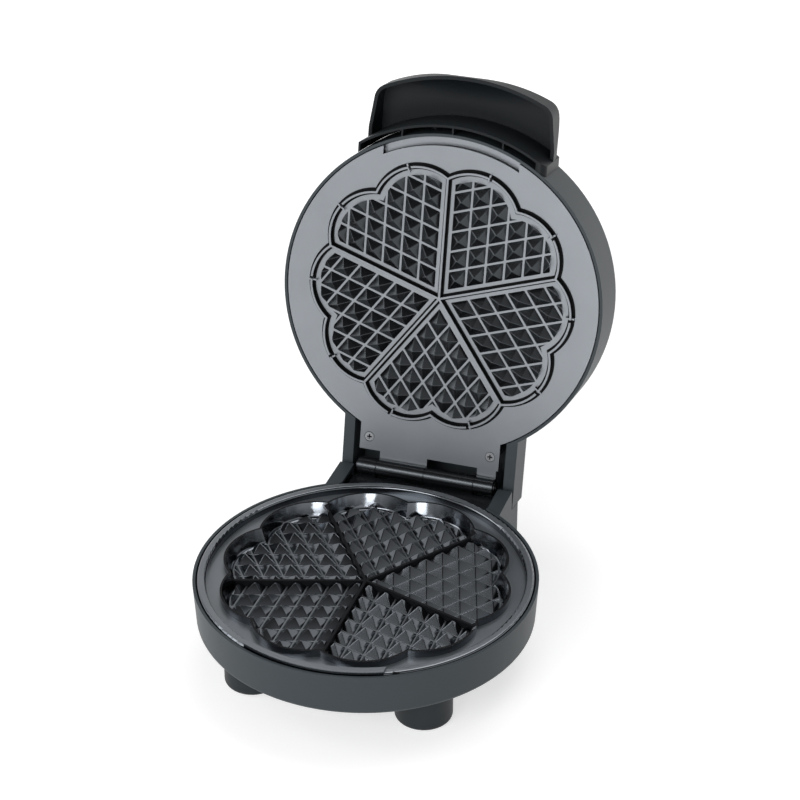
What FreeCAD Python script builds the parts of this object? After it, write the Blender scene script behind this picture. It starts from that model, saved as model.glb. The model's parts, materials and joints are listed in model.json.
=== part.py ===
"""Heart waffle maker: a round hinged iron with two cast five-heart plates.

Units are millimetres, +Z is up and -Y is the front, where the handle is when
the lid is shut.  Pieces are drawn about the middle of the round base, with the
lid shut.  The lid is then turned back about the hinge to its stop, and all is
moved to put the origin on the table under the middle of the open appliance.
"""
import math
import os

import FreeCAD
import Part

Vector = FreeCAD.Vector

# Round body
PLATE_R = 99.2
PLATE_GAP = 0.7
RIM_WALL = 1.8
WALL = 2.2
LEDGE = 2.9
PARTING_Z = 53.9
LID_GAP = 0.3

# Base housing
BASE_RIM_DROP = 0.7
BASE_TAPER = 1.5
SKIRT_Z = 27.5
BASE_FLOOR_Z = 21.0
FLOOR_BEVEL = 15.7
SKIRT_FILLET = 3.0

# Hinge
HINGE_BEHIND_BODY = 14.0
HINGE_BELOW_LID = 2.4
OPEN_ANGLE = 102.2
KNUCKLE_R = 5.25
PIN_R = 2.0
PIN_CLEARANCE = 0.06
KNUCKLE_GAP = 0.4
KNUCKLE_WIDTHS = (12.0, 31.0, 32.0, 12.2)
CLIP_R = 3.6
CLIP_WIDTH = 0.8
CLIP_GAP = 0.2
PIN_END = 0.6

# Rear hinge block of the base and neck of the lid
NECK_CLEARANCE = 4.0
NECK_WALL = 7.0
NECK_PAST_HINGE = 13.0
NECK_DEPTH = 26.0
NECK_FILLET = 4.0
STOP_GAP = 0.3
CHEEK_TOP_Z = 52.0
CHEEK_TO_HINGE = 1.2
REAR_PAST_HINGE = 17.2
REAR_BOTTOM_Z = 6.0
REAR_FILLET = 5.0
TAB_CLEARANCE = 1.8

# Baking field: ten lobes, in pairs, make five hearts
HEARTS = 5
FIELD_MARGIN = 13.2
LOBE_SHARE = 0.3814
CAVITY_DEPTH = 9.5
CAVITY_DRAFT = 3.0
CAVITY_ROUND = 2.2
CAVITY_ROUND_STEPS = 4
PLATE_WALL = 3.0
PLATE_FLOOR = 3.5

# Lower plate
FLANGE_DROP = 4.6
FLANGE_THICKNESS = 3.0
LIP_DROP = 0.2
LIP_WIDTH = 1.3
RIM_WIDTH = 5.4
RIM_CROWN = 1.6
TONGUE_HALF = 41.5
TONGUE_RISE = 1.8
TONGUE_WIDTH = 4.0
RIDGE_WIDTH = 1.6
RIDGE_HEIGHT = 4.3

# Upper plate
UPPER_THICKNESS = 3.0
UPPER_CORE = 5.0
RING_INSET = 2.5
RING_WIDTH = 1.3
RING_HEIGHT = 5.2
VENT_WIDTH = 1.6
VENT_RIB = 1.0
VENT_MARGIN = 0.8
UPPER_RIDGE_HEIGHT = 4.0
UPPER_RIDGE_WIDTH = 1.3
GROOVE_DEPTH = 1.0
GROOVE_WIDTH = 1.3
RECESS_CLEARANCE = 1.2
RECESS_RADIAL = 0.7
RECESS_DEPTH = 4.0
RECESS_WALL = 2.6

# Waffle pyramids
CELL_PITCH = 11.5
CELL_LINE = 1.3
CELL_HEIGHT = 4.2
CELL_START = 4.7
CELL_INSET = 8.0
LOWER_CELL_PITCH = 12.0
LOWER_CELL_LINE = 0.8
LOWER_CELL_HEIGHT = 5.0
LOWER_CELL_START = -1.5
LOWER_CELL_INSET = 5.0
RIDGE_CLEAR = 1.4
CELL_SINK = 0.6
CELL_LEAST = 4.0

# Hinge tabs of the plates
TAB_MARGIN = 1.3
TAB_THICKNESS = 3.2
LOWER_TAB_DROP = 4.0
TAB_END = 10.0
LOWER_TAB_END = 6.3
TAB_SCREW_INSET = 6.0
TAB_SCREW_BACK = 18.5

# Lid housing
LID_DEPTH = 42.0
LID_FILLET = 8.0
BOSS_R = 4.2

# Handle
HANDLE_HALF = 58.8
HANDLE_ROOT_INSET = 5.7
HANDLE_NARROWING = 0.134
HANDLE_REACH = 31.9
HANDLE_BOW_SHIFT = 10.5
HANDLE_CORNER_R = 10.0
HANDLE_RIM_RISE = 18.0
HANDLE_HEIGHT = 16.0
HANDLE_BROW = 15.0
HANDLE_WALL = 2.2
HANDLE_FLANK = 5.0
HANDLE_SEAT_GAP = 0.15
POCKET_DEPTH = 3.8
POCKET_WALL = 1.5
POCKET_RIB = 1.0
POCKET_PITCH = 31.6
POCKET_END = 1.2
HANDLE_POST = 6.2
HANDLE_POST_ROUND = 5.0
HANDLE_BOSS_R = 3.6

# Feet
FOOT_R = 16.9
FOOT_INSET = 28.4
FOOT_ANGLE = -44.34
FOOT_FILLET = 3.0
FOOT_SCREW_DEPTH = 12.0
REAR_PAD_R = 9.0
REAR_PAD_X = 40.0
REAR_PAD_PAST_HINGE = 3.3

# Screws
SCREW_R = 1.5
SCREW_HEAD_R = 2.9
SCREW_HEAD_H = 1.7
SCREW_CLEARANCE = 0.2
HEAD_CLEARANCE = 0.35
SCREW_BITE = 2.0
TAB_SCREW_LENGTH = 12.0
CROSS_WIDTH = 0.9
CROSS_LENGTH = 3.2
CROSS_DEPTH = 0.8
PILLAR_R = 3.6
PILLAR_SCREW_SEAT = 6.6
PILLAR_INSET = 7.7
PILLAR_ANGLES = (-90.0, 54.0, 126.0)

# Heating parts
ELEMENT_INSET = 26.0
ELEMENT_TUBE_R = 3.3
ELEMENT_GAP_ANGLE = 40.0
ELEMENT_LEG = 12.0
ELEMENT_LEG_R = 1.6
ELEMENT_CLEARANCE = 0.25
REFLECTOR_INSET = 8.0
REFLECTOR_SHEET = 0.6
REFLECTOR_HEM = 3.0
CORE_BOSS_R = 6.0
THERMOSTAT_R = 8.0
THERMOSTAT_H = 9.0
THERMOSTAT_INSET = 26.7
THERMOSTAT_ANGLE = 32.7
THERMOSTAT_WINDOW = 1.5
THERMOSTAT_BLADE = 4.0
THERMOSTAT_BLADE_SHEET = 0.8
THERMOSTAT_BLADE_DROP = 2.0
FUSE_R = 2.0
FUSE_LENGTH = 12.0
FUSE_LEAD_R = 0.5
FUSE_LEAD = 7.0
TERMINAL_SIZE = (34.0, 14.0, 13.0)
TERMINAL_BEFORE_HINGE = 3.7
TERMINAL_BORE_R = 2.0
TERMINAL_SCREW_R = 2.4
GLAND_R = 6.5
GLAND_FLANGE_R = 8.5
GLAND_FLANGE = 2.0
GLAND_TAIL = 5.0
GLAND_BORE_R = 3.4
GLAND_Z = 20.0

# Signal lamps
LENS_R = 4.0
LENS_X = 11.0
LENS_INSET = 35.7
LENS_RISE = 1.2
LENS_FILLET = 0.9
LENS_FLANGE = 1.4
LENS_FLANGE_H = 1.2
LENS_CLEARANCE = 0.15
LAMP_R = 2.6
LAMP_LENGTH = 11.0

# Overrun of cutting tools past the face that they open
OVERCUT = 1.0

# Heights and radii that follow from the driving sizes
HINGE_LENGTH = sum(KNUCKLE_WIDTHS) + KNUCKLE_GAP * (len(KNUCKLE_WIDTHS) - 1)
TAB_HALF = HINGE_LENGTH / 2.0 + TAB_MARGIN
TAB_SCREW_X = TAB_HALF - TAB_SCREW_INSET
NECK_INNER_HALF = TAB_HALF + NECK_CLEARANCE
NECK_HALF = NECK_INNER_HALF + NECK_WALL
BODY_R = PLATE_R + PLATE_GAP + RIM_WALL
BASE_FLOOR_R = BODY_R - FLOOR_BEVEL
HINGE_Y = BODY_R + HINGE_BEHIND_BODY
REAR_Y = HINGE_Y + REAR_PAST_HINGE
REAR_FRONT_Y = math.sqrt(BODY_R ** 2 - NECK_HALF ** 2) - WALL
FIELD_R = PLATE_R - FIELD_MARGIN
LOBE_R = FIELD_R * LOBE_SHARE
LOBE_CENTRE_R = FIELD_R - LOBE_R
HANDLE_ROOT = BODY_R - HANDLE_ROOT_INSET
HANDLE_FRONT = BODY_R + HANDLE_REACH
HANDLE_FRONT_R = HANDLE_FRONT - HANDLE_BOW_SHIFT
FOOT_X = (BODY_R - FOOT_INSET) * math.cos(math.radians(FOOT_ANGLE))
FOOT_Y = (BODY_R - FOOT_INSET) * math.sin(math.radians(FOOT_ANGLE))
REAR_PAD_Y = HINGE_Y + REAR_PAD_PAST_HINGE
PILLAR_CIRCLE_R = PLATE_R - PILLAR_INSET
ELEMENT_RING_R = FIELD_R - ELEMENT_INSET
REFLECTOR_R = FIELD_R - REFLECTOR_INSET
THERMOSTAT_X = (ELEMENT_RING_R - THERMOSTAT_INSET) * math.cos(math.radians(THERMOSTAT_ANGLE))
THERMOSTAT_Y = (ELEMENT_RING_R - THERMOSTAT_INSET) * math.sin(math.radians(THERMOSTAT_ANGLE))
TERMINAL_Y = HINGE_Y - TERMINAL_BEFORE_HINGE
LENS_Y = LENS_INSET - BODY_R
LID_Z = PARTING_Z + LID_GAP
HINGE_Z = LID_Z - HINGE_BELOW_LID
BASE_RIM_Z = PARTING_Z - BASE_RIM_DROP
FLANGE_Z = PARTING_Z - FLANGE_DROP
LIP_Z = PARTING_Z - LIP_DROP
CAVITY_Z = LIP_Z - CAVITY_DEPTH
LOWER_BACK_Z = CAVITY_Z - PLATE_FLOOR
SEAT_Z = FLANGE_Z - FLANGE_THICKNESS
POCKET_R = PLATE_R + PLATE_GAP
LEDGE_R = POCKET_R - LEDGE
UPPER_BACK_Z = LID_Z + UPPER_THICKNESS
CORE_BACK_Z = LID_Z + UPPER_CORE
ELEMENT_ROOM = 2.0 * (ELEMENT_TUBE_R + ELEMENT_CLEARANCE)
LOWER_SHEET_Z = LOWER_BACK_Z - ELEMENT_ROOM
UPPER_SHEET_Z = CORE_BACK_Z + ELEMENT_ROOM
LID_TOP_Z = LID_Z + LID_DEPTH
NECK_TOP_Z = LID_Z + NECK_DEPTH
NECK_END_Y = HINGE_Y + NECK_PAST_HINGE
CHEEK_END_Y = HINGE_Y - CHEEK_TO_HINGE
TAB_SCREW_Y = HINGE_Y - TAB_SCREW_BACK
LOWER_TAB_TOP_Z = HINGE_Z - LOWER_TAB_DROP
LOWER_TAB_Z = LOWER_TAB_TOP_Z - TAB_THICKNESS
SCREW_SEAT_Z = BASE_FLOOR_Z + PILLAR_SCREW_SEAT
ROOM_R = BODY_R - WALL - LEDGE / 2.0
RECESS_HALF = TONGUE_HALF + RECESS_CLEARANCE
RECESS_Z = LID_Z + RECESS_DEPTH
LENS_SEAT_Z = LID_TOP_Z - WALL
HANDLE_RIM_Z = LID_Z + HANDLE_RIM_RISE
HANDLE_TOP_Z = HANDLE_RIM_Z + HANDLE_HEIGHT
HANDLE_SEAT_R = BODY_R + HANDLE_SEAT_GAP
ARC_OUTER_R = HANDLE_SEAT_R + POCKET_DEPTH + POCKET_WALL
TILT = math.radians(OPEN_ANGLE - 90.0)
LID_REACH_Y = (HINGE_Y + (HINGE_Y + BODY_R - LID_FILLET) * math.sin(TILT)
               + (LID_TOP_Z - LID_FILLET - HINGE_Z) * math.cos(TILT) + LID_FILLET)
MIDDLE_Y = (LID_REACH_Y - BODY_R) / 2.0
SECTOR = 360.0 / HEARTS
LOBE_STEP = SECTOR / 2.0
FRONT_ANGLE = -90.0
QUARTER = 90.0
X_AXIS = Vector(1, 0, 0)
Y_AXIS = Vector(0, 1, 0)
Z_AXIS = Vector(0, 0, 1)
HINGE_POINT = Vector(0, HINGE_Y, HINGE_Z)


# Plain helpers

def polar(radius, degrees, z=0.0):
    """Return the point at a radius and an angle from +X."""
    angle = math.radians(degrees)
    return Vector(radius * math.cos(angle), radius * math.sin(angle), z)


def box(x, y, z):
    """Return a box that spans three (low, high) pairs."""
    size = [high - low for low, high in (x, y, z)]
    return Part.makeBox(*size, Vector(x[0], y[0], z[0]))


def upright(radius, low, high, x=0.0, y=0.0):
    """Return a standing cylinder between two heights."""
    return Part.makeCylinder(radius, high - low, Vector(x, y, low), Z_AXIS)


def turned(points):
    """Return the solid that an (r, z) outline sweeps about the Z axis."""
    corners = [Vector(r, 0, z) for r, z in points]
    face = Part.Face(Part.makePolygon(corners + corners[:1]))
    return face.revolve(Vector(0, 0, 0), Z_AXIS, 360.0)


def prism(points, length, along):
    """Return a closed outline of points pushed along a direction."""
    face = Part.Face(Part.makePolygon(list(points) + [points[0]]))
    return face.extrude(along * length)


def side_prism(points, half):
    """Return a (y, z) outline pushed across the width, from -half to +half."""
    corners = [Vector(-half, y, z) for y, z in points]
    return prism(corners, 2.0 * half, X_AXIS)


def edges_where(shape, test):
    """Return the edges whose middle point passes a test."""
    return [edge for edge in shape.Edges if test(edge.valueAt(
        0.5 * (edge.FirstParameter + edge.LastParameter)))]


def spun(shape, degrees):
    """Return a copy turned about the Z axis."""
    copy = shape.copy()
    copy.rotate(Vector(0, 0, 0), Z_AXIS, degrees)
    return copy


def mirrored(shape):
    """Return the copy on the other side of the middle plane."""
    return shape.mirror(Vector(0, 0, 0), X_AXIS)


def opened(shape):
    """Return a lid piece turned back from shut to its stop."""
    copy = shape.copy()
    copy.rotate(HINGE_POINT, X_AXIS, -OPEN_ANGLE)
    return copy


def pan_screw(length):
    """Return a cross-head screw with its head's seat at z = 0 and its shank up."""
    screw = upright(SCREW_HEAD_R, -SCREW_HEAD_H, 0.0).fuse(upright(SCREW_R, 0.0, length))
    slot = box((-CROSS_LENGTH / 2.0, CROSS_LENGTH / 2.0), (-CROSS_WIDTH / 2.0, CROSS_WIDTH / 2.0),
               (-SCREW_HEAD_H, CROSS_DEPTH - SCREW_HEAD_H))
    return screw.cut(slot.fuse(spun(slot, 90.0)))


def flipped(shape):
    """Return a copy turned upside down."""
    copy = shape.copy()
    copy.rotate(Vector(0, 0, 0), X_AXIS, 180.0)
    return copy


def placed(shape, x, y, z):
    """Return a copy moved to a place."""
    copy = shape.copy()
    copy.translate(Vector(x, y, z))
    return copy


def drilled(x, y, low, high):
    """Return the clearance hole of a screw."""
    return upright(SCREW_R + SCREW_CLEARANCE, low, high, x, y)


# Heart outline

def cusp_radius(inset):
    """Return the radius at which two neighbouring lobes meet."""
    along = LOBE_CENTRE_R * math.cos(math.radians(LOBE_STEP / 2.0))
    return along + math.sqrt((LOBE_R - inset) ** 2 - LOBE_CENTRE_R ** 2 + along ** 2)


def scallop(inset, z):
    """Return the ten-lobed outline, moved inward by an inset."""
    cusp = cusp_radius(inset)
    crest = FIELD_R - inset
    arcs = []
    for lobe in range(2 * HEARTS):
        start = FRONT_ANGLE + LOBE_STEP * lobe
        arcs.append(Part.Arc(polar(cusp, start, z), polar(crest, start + LOBE_STEP / 2.0, z),
                             polar(cusp, start + LOBE_STEP, z)).toShape())
    return Part.Wire(arcs)


def scallop_solid(low_inset, low, high_inset, high):
    """Return the solid between two scalloped outlines."""
    return Part.makeLoft([scallop(low_inset, low), scallop(high_inset, high)], True, True)


def cavity():
    """Return the deep cavity: drafted walls that run into the floor with a cast radius."""
    lean = math.atan2(CAVITY_DRAFT, LIP_Z - CAVITY_Z)
    sweep = math.pi / 2.0 - lean
    foot = CAVITY_DRAFT + CAVITY_ROUND * math.tan(sweep / 2.0)
    outlines = []
    for step in range(CAVITY_ROUND_STEPS + 1):
        angle = sweep * step / CAVITY_ROUND_STEPS
        outlines.append(scallop(foot - CAVITY_ROUND * math.sin(angle),
                                CAVITY_Z + CAVITY_ROUND * (1.0 - math.cos(angle))))
    outlines.append(scallop(0.0, LIP_Z))
    return Part.makeLoft(outlines, True, True)


def scallop_wall(outer_inset, width, low, high):
    """Return an upright scalloped wall of a given width."""
    outer = scallop_solid(outer_inset, low, outer_inset, high)
    return outer.cut(scallop_solid(outer_inset + width, low, outer_inset + width, high))


def separator(width, low, high, reach):
    """Return the five thin ridges between the hearts."""
    bar = box((0.0, reach), (-width / 2.0, width / 2.0), (low, high))
    bars = [spun(bar, FRONT_ANGLE + SECTOR * heart) for heart in range(HEARTS)]
    return bars[0].multiFuse(bars[1:])


def cell(start_a, start_b, size, side_a, side_b, base, rise):
    """Return one pyramid on a slanted square, sunk a little into its floor."""
    sink = -math.copysign(CELL_SINK, rise)
    plan = [(0, 0), (size, 0), (size, size), (0, size)]
    flat = [side_a * (start_a + a) + side_b * (start_b + b) for a, b in plan]
    foot = [point + Z_AXIS * (base + sink) for point in flat]
    rim = [point + Z_AXIS * base for point in flat]
    apex = (flat[0] + flat[2]) * 0.5 + Z_AXIS * (base + rise)
    faces = [Part.Face(Part.makePolygon(foot + foot[:1]))]
    for here in range(len(plan)):
        there = (here + 1) % len(plan)
        wall = [foot[here], foot[there], rim[there], rim[here], foot[here]]
        roof = [rim[here], rim[there], apex, rim[here]]
        faces += [Part.Face(Part.makePolygon(wall)), Part.Face(Part.makePolygon(roof))]
    solid = Part.Solid(Part.Shell(faces))
    if solid.Volume < 0:
        solid.reverse()
    return solid


def inside_field(point, inset):
    """Tell whether a point lies within the scalloped outline."""
    angle = math.degrees(math.atan2(point.y, point.x)) - FRONT_ANGLE
    lobe = math.floor(angle / LOBE_STEP)
    centre = polar(LOBE_CENTRE_R, FRONT_ANGLE + LOBE_STEP * (lobe + 0.5))
    flat = Vector(point.x, point.y, 0)
    return flat.sub(centre).Length < LOBE_R - inset or flat.Length < LOBE_CENTRE_R


def heart_roof(base, rise, inset, run):
    """Return the room of the first heart: every border carries a slope as steep as a pyramid's."""
    sink = -math.copysign(CELL_SINK, rise)
    room = scallop_solid(inset, base + sink, inset, base)
    room = room.fuse(scallop_solid(inset, base, inset + run, base + rise))
    far = 2.0 * FIELD_R
    profile = [(RIDGE_CLEAR, base + sink), (RIDGE_CLEAR, base), (RIDGE_CLEAR + run, base + rise),
               (far, base + rise), (far, base + sink)]
    for side, inward in ((FRONT_ANGLE, QUARTER), (FRONT_ANGLE + SECTOR, -QUARTER)):
        across = polar(1.0, side + inward)
        room = room.common(prism([across * away + Z_AXIS * z for away, z in profile], far, polar(1.0, side)))
    return room


def heart_cells(base, rise, pitch, line, start, inset):
    """Return the pyramids of all the hearts; those at a border are roofed by it."""
    slant = math.sin(math.radians(SECTOR))
    side_a = polar(1.0, FRONT_ANGLE)
    side_b = polar(1.0, FRONT_ANGLE + SECTOR)
    first = start / slant
    size = pitch - line / slant
    roof = heart_roof(base, rise, inset, size * slant / 2.0)
    count = int((FIELD_R - first) / pitch) + 1
    cells = []
    for row in range(count):
        for column in range(count):
            start_a = first + pitch * row
            start_b = first + pitch * column
            corners = [side_a * (start_a + a) + side_b * (start_b + b)
                       for a in (0, size) for b in (0, size)]
            within = [inside_field(corner, inset) for corner in corners]
            if not any(within):
                continue
            pyramid = cell(start_a, start_b, size, side_a, side_b, base, rise)
            if not all(within) or min(start_a, start_b) * slant < RIDGE_CLEAR:
                pieces = pyramid.common(roof).Solids
                cells += [piece for piece in pieces if piece.Volume > CELL_LEAST]
                continue
            cells.append(pyramid)
    return [spun(one, SECTOR * heart) for heart in range(HEARTS) for one in cells]


# Hinge

def knuckle_spans():
    """Return the (low, high) span of each knuckle along X, from the left."""
    low = -HINGE_LENGTH / 2.0
    spans = []
    for width in KNUCKLE_WIDTHS:
        spans.append((low, low + width))
        low += width + KNUCKLE_GAP
    return spans


def knuckle(span):
    """Return one solid hinge knuckle."""
    return Part.makeCylinder(KNUCKLE_R, span[1] - span[0], Vector(span[0], HINGE_Y, HINGE_Z), X_AXIS)


def hinge_bore():
    """Return the bore that the pin runs in."""
    start = Vector(-HINGE_LENGTH, HINGE_Y, HINGE_Z)
    return Part.makeCylinder(PIN_R + PIN_CLEARANCE, 2.0 * HINGE_LENGTH, start, X_AXIS)


def hinge_pin():
    """Return the pin through all the knuckles."""
    half = HINGE_LENGTH / 2.0 + CLIP_GAP + CLIP_WIDTH + PIN_END
    return Part.makeCylinder(PIN_R, 2.0 * half, Vector(-half, HINGE_Y, HINGE_Z), X_AXIS)


def hinge_clips():
    """Return the push-on washers at the ends of the pin."""
    start = Vector(HINGE_LENGTH / 2.0 + CLIP_GAP, HINGE_Y, HINGE_Z)
    washer = Part.makeCylinder(CLIP_R, CLIP_WIDTH, start, X_AXIS)
    washer = washer.cut(Part.makeCylinder(PIN_R, CLIP_WIDTH, start, X_AXIS))
    return Part.makeCompound([mirrored(washer), washer])


# Plates

def lower_plate():
    """Return the lower cast plate: rim, flange, deep five-heart tub and hinge tab."""
    rim_in = PLATE_R - RIM_WIDTH
    rim = turned([(rim_in, SEAT_Z), (PLATE_R, SEAT_Z), (PLATE_R, PARTING_Z), (rim_in, PARTING_Z)])
    crest = edges_where(rim, lambda p: abs(p.z - PARTING_Z) < 0.01)
    rim = rim.makeFillet(RIM_CROWN, crest)
    flange = upright(rim_in + RIM_CROWN, SEAT_Z, FLANGE_Z)
    tub = scallop_solid(CAVITY_DRAFT - PLATE_WALL, LOWER_BACK_Z, -PLATE_WALL, SEAT_Z)
    lip = scallop_solid(-LIP_WIDTH, SEAT_Z, -LIP_WIDTH, LIP_Z)
    tab = box((-TAB_HALF, TAB_HALF), (0, HINGE_Y - LOWER_TAB_END), (LOWER_TAB_Z, LOWER_TAB_TOP_Z))
    tab = tab.cut(upright(rim_in, LOWER_TAB_Z, LOWER_TAB_TOP_Z))
    spans = knuckle_spans()
    webs = []
    for span in (spans[0], spans[2]):
        webs += [knuckle(span), box(span, (HINGE_Y - LOWER_TAB_END, HINGE_Y), (LOWER_TAB_Z, LOWER_TAB_TOP_Z))]
    tongue_z = PARTING_Z + TONGUE_RISE
    tongue = upright(PLATE_R, SEAT_Z, tongue_z).cut(upright(PLATE_R - TONGUE_WIDTH, SEAT_Z, tongue_z))
    tongue = tongue.common(box((-TONGUE_HALF, TONGUE_HALF), (-PLATE_R, 0), (SEAT_Z, tongue_z)))
    boss = upright(CORE_BOSS_R, LOWER_SHEET_Z, LOWER_BACK_Z)
    body = rim.multiFuse([flange, tub, lip, tab, tongue, boss] + webs)
    body = body.cut(cavity())
    ridges = separator(RIDGE_WIDTH, CAVITY_Z - CELL_SINK, CAVITY_Z + RIDGE_HEIGHT,
                       cusp_radius(0.0))
    cells = heart_cells(CAVITY_Z, LOWER_CELL_HEIGHT, LOWER_CELL_PITCH, LOWER_CELL_LINE,
                        LOWER_CELL_START, LOWER_CELL_INSET)
    body = body.multiFuse([ridges] + cells)
    holes = [hinge_bore(), drilled(0, 0, LOWER_SHEET_Z, LOWER_SHEET_Z + SCREW_BITE + SCREW_CLEARANCE)]
    for angle in PILLAR_ANGLES:
        place = polar(PILLAR_CIRCLE_R, angle)
        holes.append(drilled(place.x, place.y, SEAT_Z, SEAT_Z + SCREW_BITE))
    return body.cut(Part.makeCompound(holes))


def overflow_ring():
    """Return the scalloped ring, with a vent slot and a rib on the crest of each lobe."""
    ring = scallop_wall(RING_INSET, RING_WIDTH, LID_Z - RING_HEIGHT, LID_Z)
    crest = FIELD_R
    across = (crest - 2.0 * RING_INSET - RING_WIDTH, crest - VENT_MARGIN)
    slot = box(across, (VENT_RIB / 2.0, VENT_RIB / 2.0 + VENT_WIDTH), (LID_Z - RING_HEIGHT, LID_Z))
    rib = box(across, (-VENT_RIB / 2.0, VENT_RIB / 2.0), (LID_Z - RING_HEIGHT / 2.0, LID_Z))
    angles = [FRONT_ANGLE + LOBE_STEP * (lobe + 0.5) for lobe in range(2 * HEARTS)]
    ring = ring.cut(Part.makeCompound([spun(slot, angle) for angle in angles]))
    return ring.multiFuse([spun(rib, angle) for angle in angles])


def front_recess(inner_r, outer_r, half, top):
    """Return an arc-shaped block at the front edge, from the parting face upwards."""
    band = upright(outer_r, LID_Z, top).cut(upright(inner_r, LID_Z, top))
    return band.common(box((-half, half), (-outer_r, 0), (LID_Z, top)))


def upper_plate():
    """Return the upper cast plate: flange, pyramids, overflow ring, recess and hinge tab."""
    flange = upright(PLATE_R, LID_Z, UPPER_BACK_Z)
    core = scallop_solid(-PLATE_WALL, LID_Z, -PLATE_WALL, CORE_BACK_Z)
    recess_r = PLATE_R - TONGUE_WIDTH - RECESS_RADIAL
    hood = front_recess(recess_r - RECESS_WALL, PLATE_R, RECESS_HALF + RECESS_WALL, RECESS_Z + RECESS_WALL)
    recess = front_recess(recess_r, POCKET_R, RECESS_HALF, RECESS_Z)
    tab = box((-TAB_HALF, TAB_HALF), (0, HINGE_Y - TAB_END), (LID_Z, UPPER_BACK_Z))
    spans = knuckle_spans()
    webs = []
    for span in (spans[1], spans[3]):
        arm = box(span, (0, HINGE_Y), (LID_Z, UPPER_BACK_Z))
        webs += [knuckle(span), arm.cut(upright(LEDGE_R, LID_Z, UPPER_BACK_Z))]
    boss = upright(CORE_BOSS_R, CORE_BACK_Z, UPPER_SHEET_Z)
    body = flange.multiFuse([core, hood, tab, boss] + webs)
    reach = cusp_radius(RING_INSET + RING_WIDTH) + RING_WIDTH / 2.0
    groove = scallop_wall(RING_INSET + RING_WIDTH, GROOVE_WIDTH, LID_Z, LID_Z + GROOVE_DEPTH)
    trench = separator(UPPER_RIDGE_WIDTH + 2.0 * GROOVE_WIDTH, LID_Z, LID_Z + GROOVE_DEPTH, reach)
    body = body.cut(Part.makeCompound([recess, groove])).cut(trench)
    ridges = separator(UPPER_RIDGE_WIDTH, LID_Z - UPPER_RIDGE_HEIGHT, LID_Z + GROOVE_DEPTH + CELL_SINK, reach)
    cells = heart_cells(LID_Z, -CELL_HEIGHT, CELL_PITCH, CELL_LINE, CELL_START, CELL_INSET)
    body = body.multiFuse([overflow_ring(), ridges] + cells)
    holes = [hinge_bore(), drilled(0, 0, UPPER_SHEET_Z - SCREW_BITE - SCREW_CLEARANCE, UPPER_SHEET_Z)]
    for x in (-TAB_SCREW_X, TAB_SCREW_X):
        holes.append(drilled(x, TAB_SCREW_Y, LID_Z, UPPER_BACK_Z))
        holes.append(upright(SCREW_HEAD_R + HEAD_CLEARANCE, LID_Z, LID_Z + SCREW_HEAD_H, x, TAB_SCREW_Y))
    return body.cut(Part.makeCompound(holes))


# Housings

def rear_stop_line(offset):
    """Return the (y, z) ends of the block's top, under the neck's end when open."""
    turn = math.radians(OPEN_ANGLE)
    ends = []
    for height in (HINGE_BELOW_LID, HINGE_BELOW_LID + NECK_DEPTH):
        past = NECK_PAST_HINGE + STOP_GAP + offset
        ends.append((HINGE_Y + past * math.cos(turn) + height * math.sin(turn),
                     HINGE_Z - past * math.sin(turn) + height * math.cos(turn)))
    return ends


def rear_outline(inset):
    """Return the side view of the hinge block, drawn in by an inset."""
    (y_low, z_low), (y_high, z_high) = rear_stop_line(inset)
    slope = (z_high - z_low) / (y_high - y_low)
    rear = REAR_Y - inset
    cheek = CHEEK_END_Y - inset
    return [(REAR_FRONT_Y + inset, REAR_BOTTOM_Z + inset), (rear, REAR_BOTTOM_Z + inset),
            (rear, z_low + slope * (rear - y_low)), (cheek, z_low + slope * (cheek - y_low)),
            (cheek, CHEEK_TOP_Z - inset), (REAR_FRONT_Y + inset, CHEEK_TOP_Z - inset)]


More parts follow.
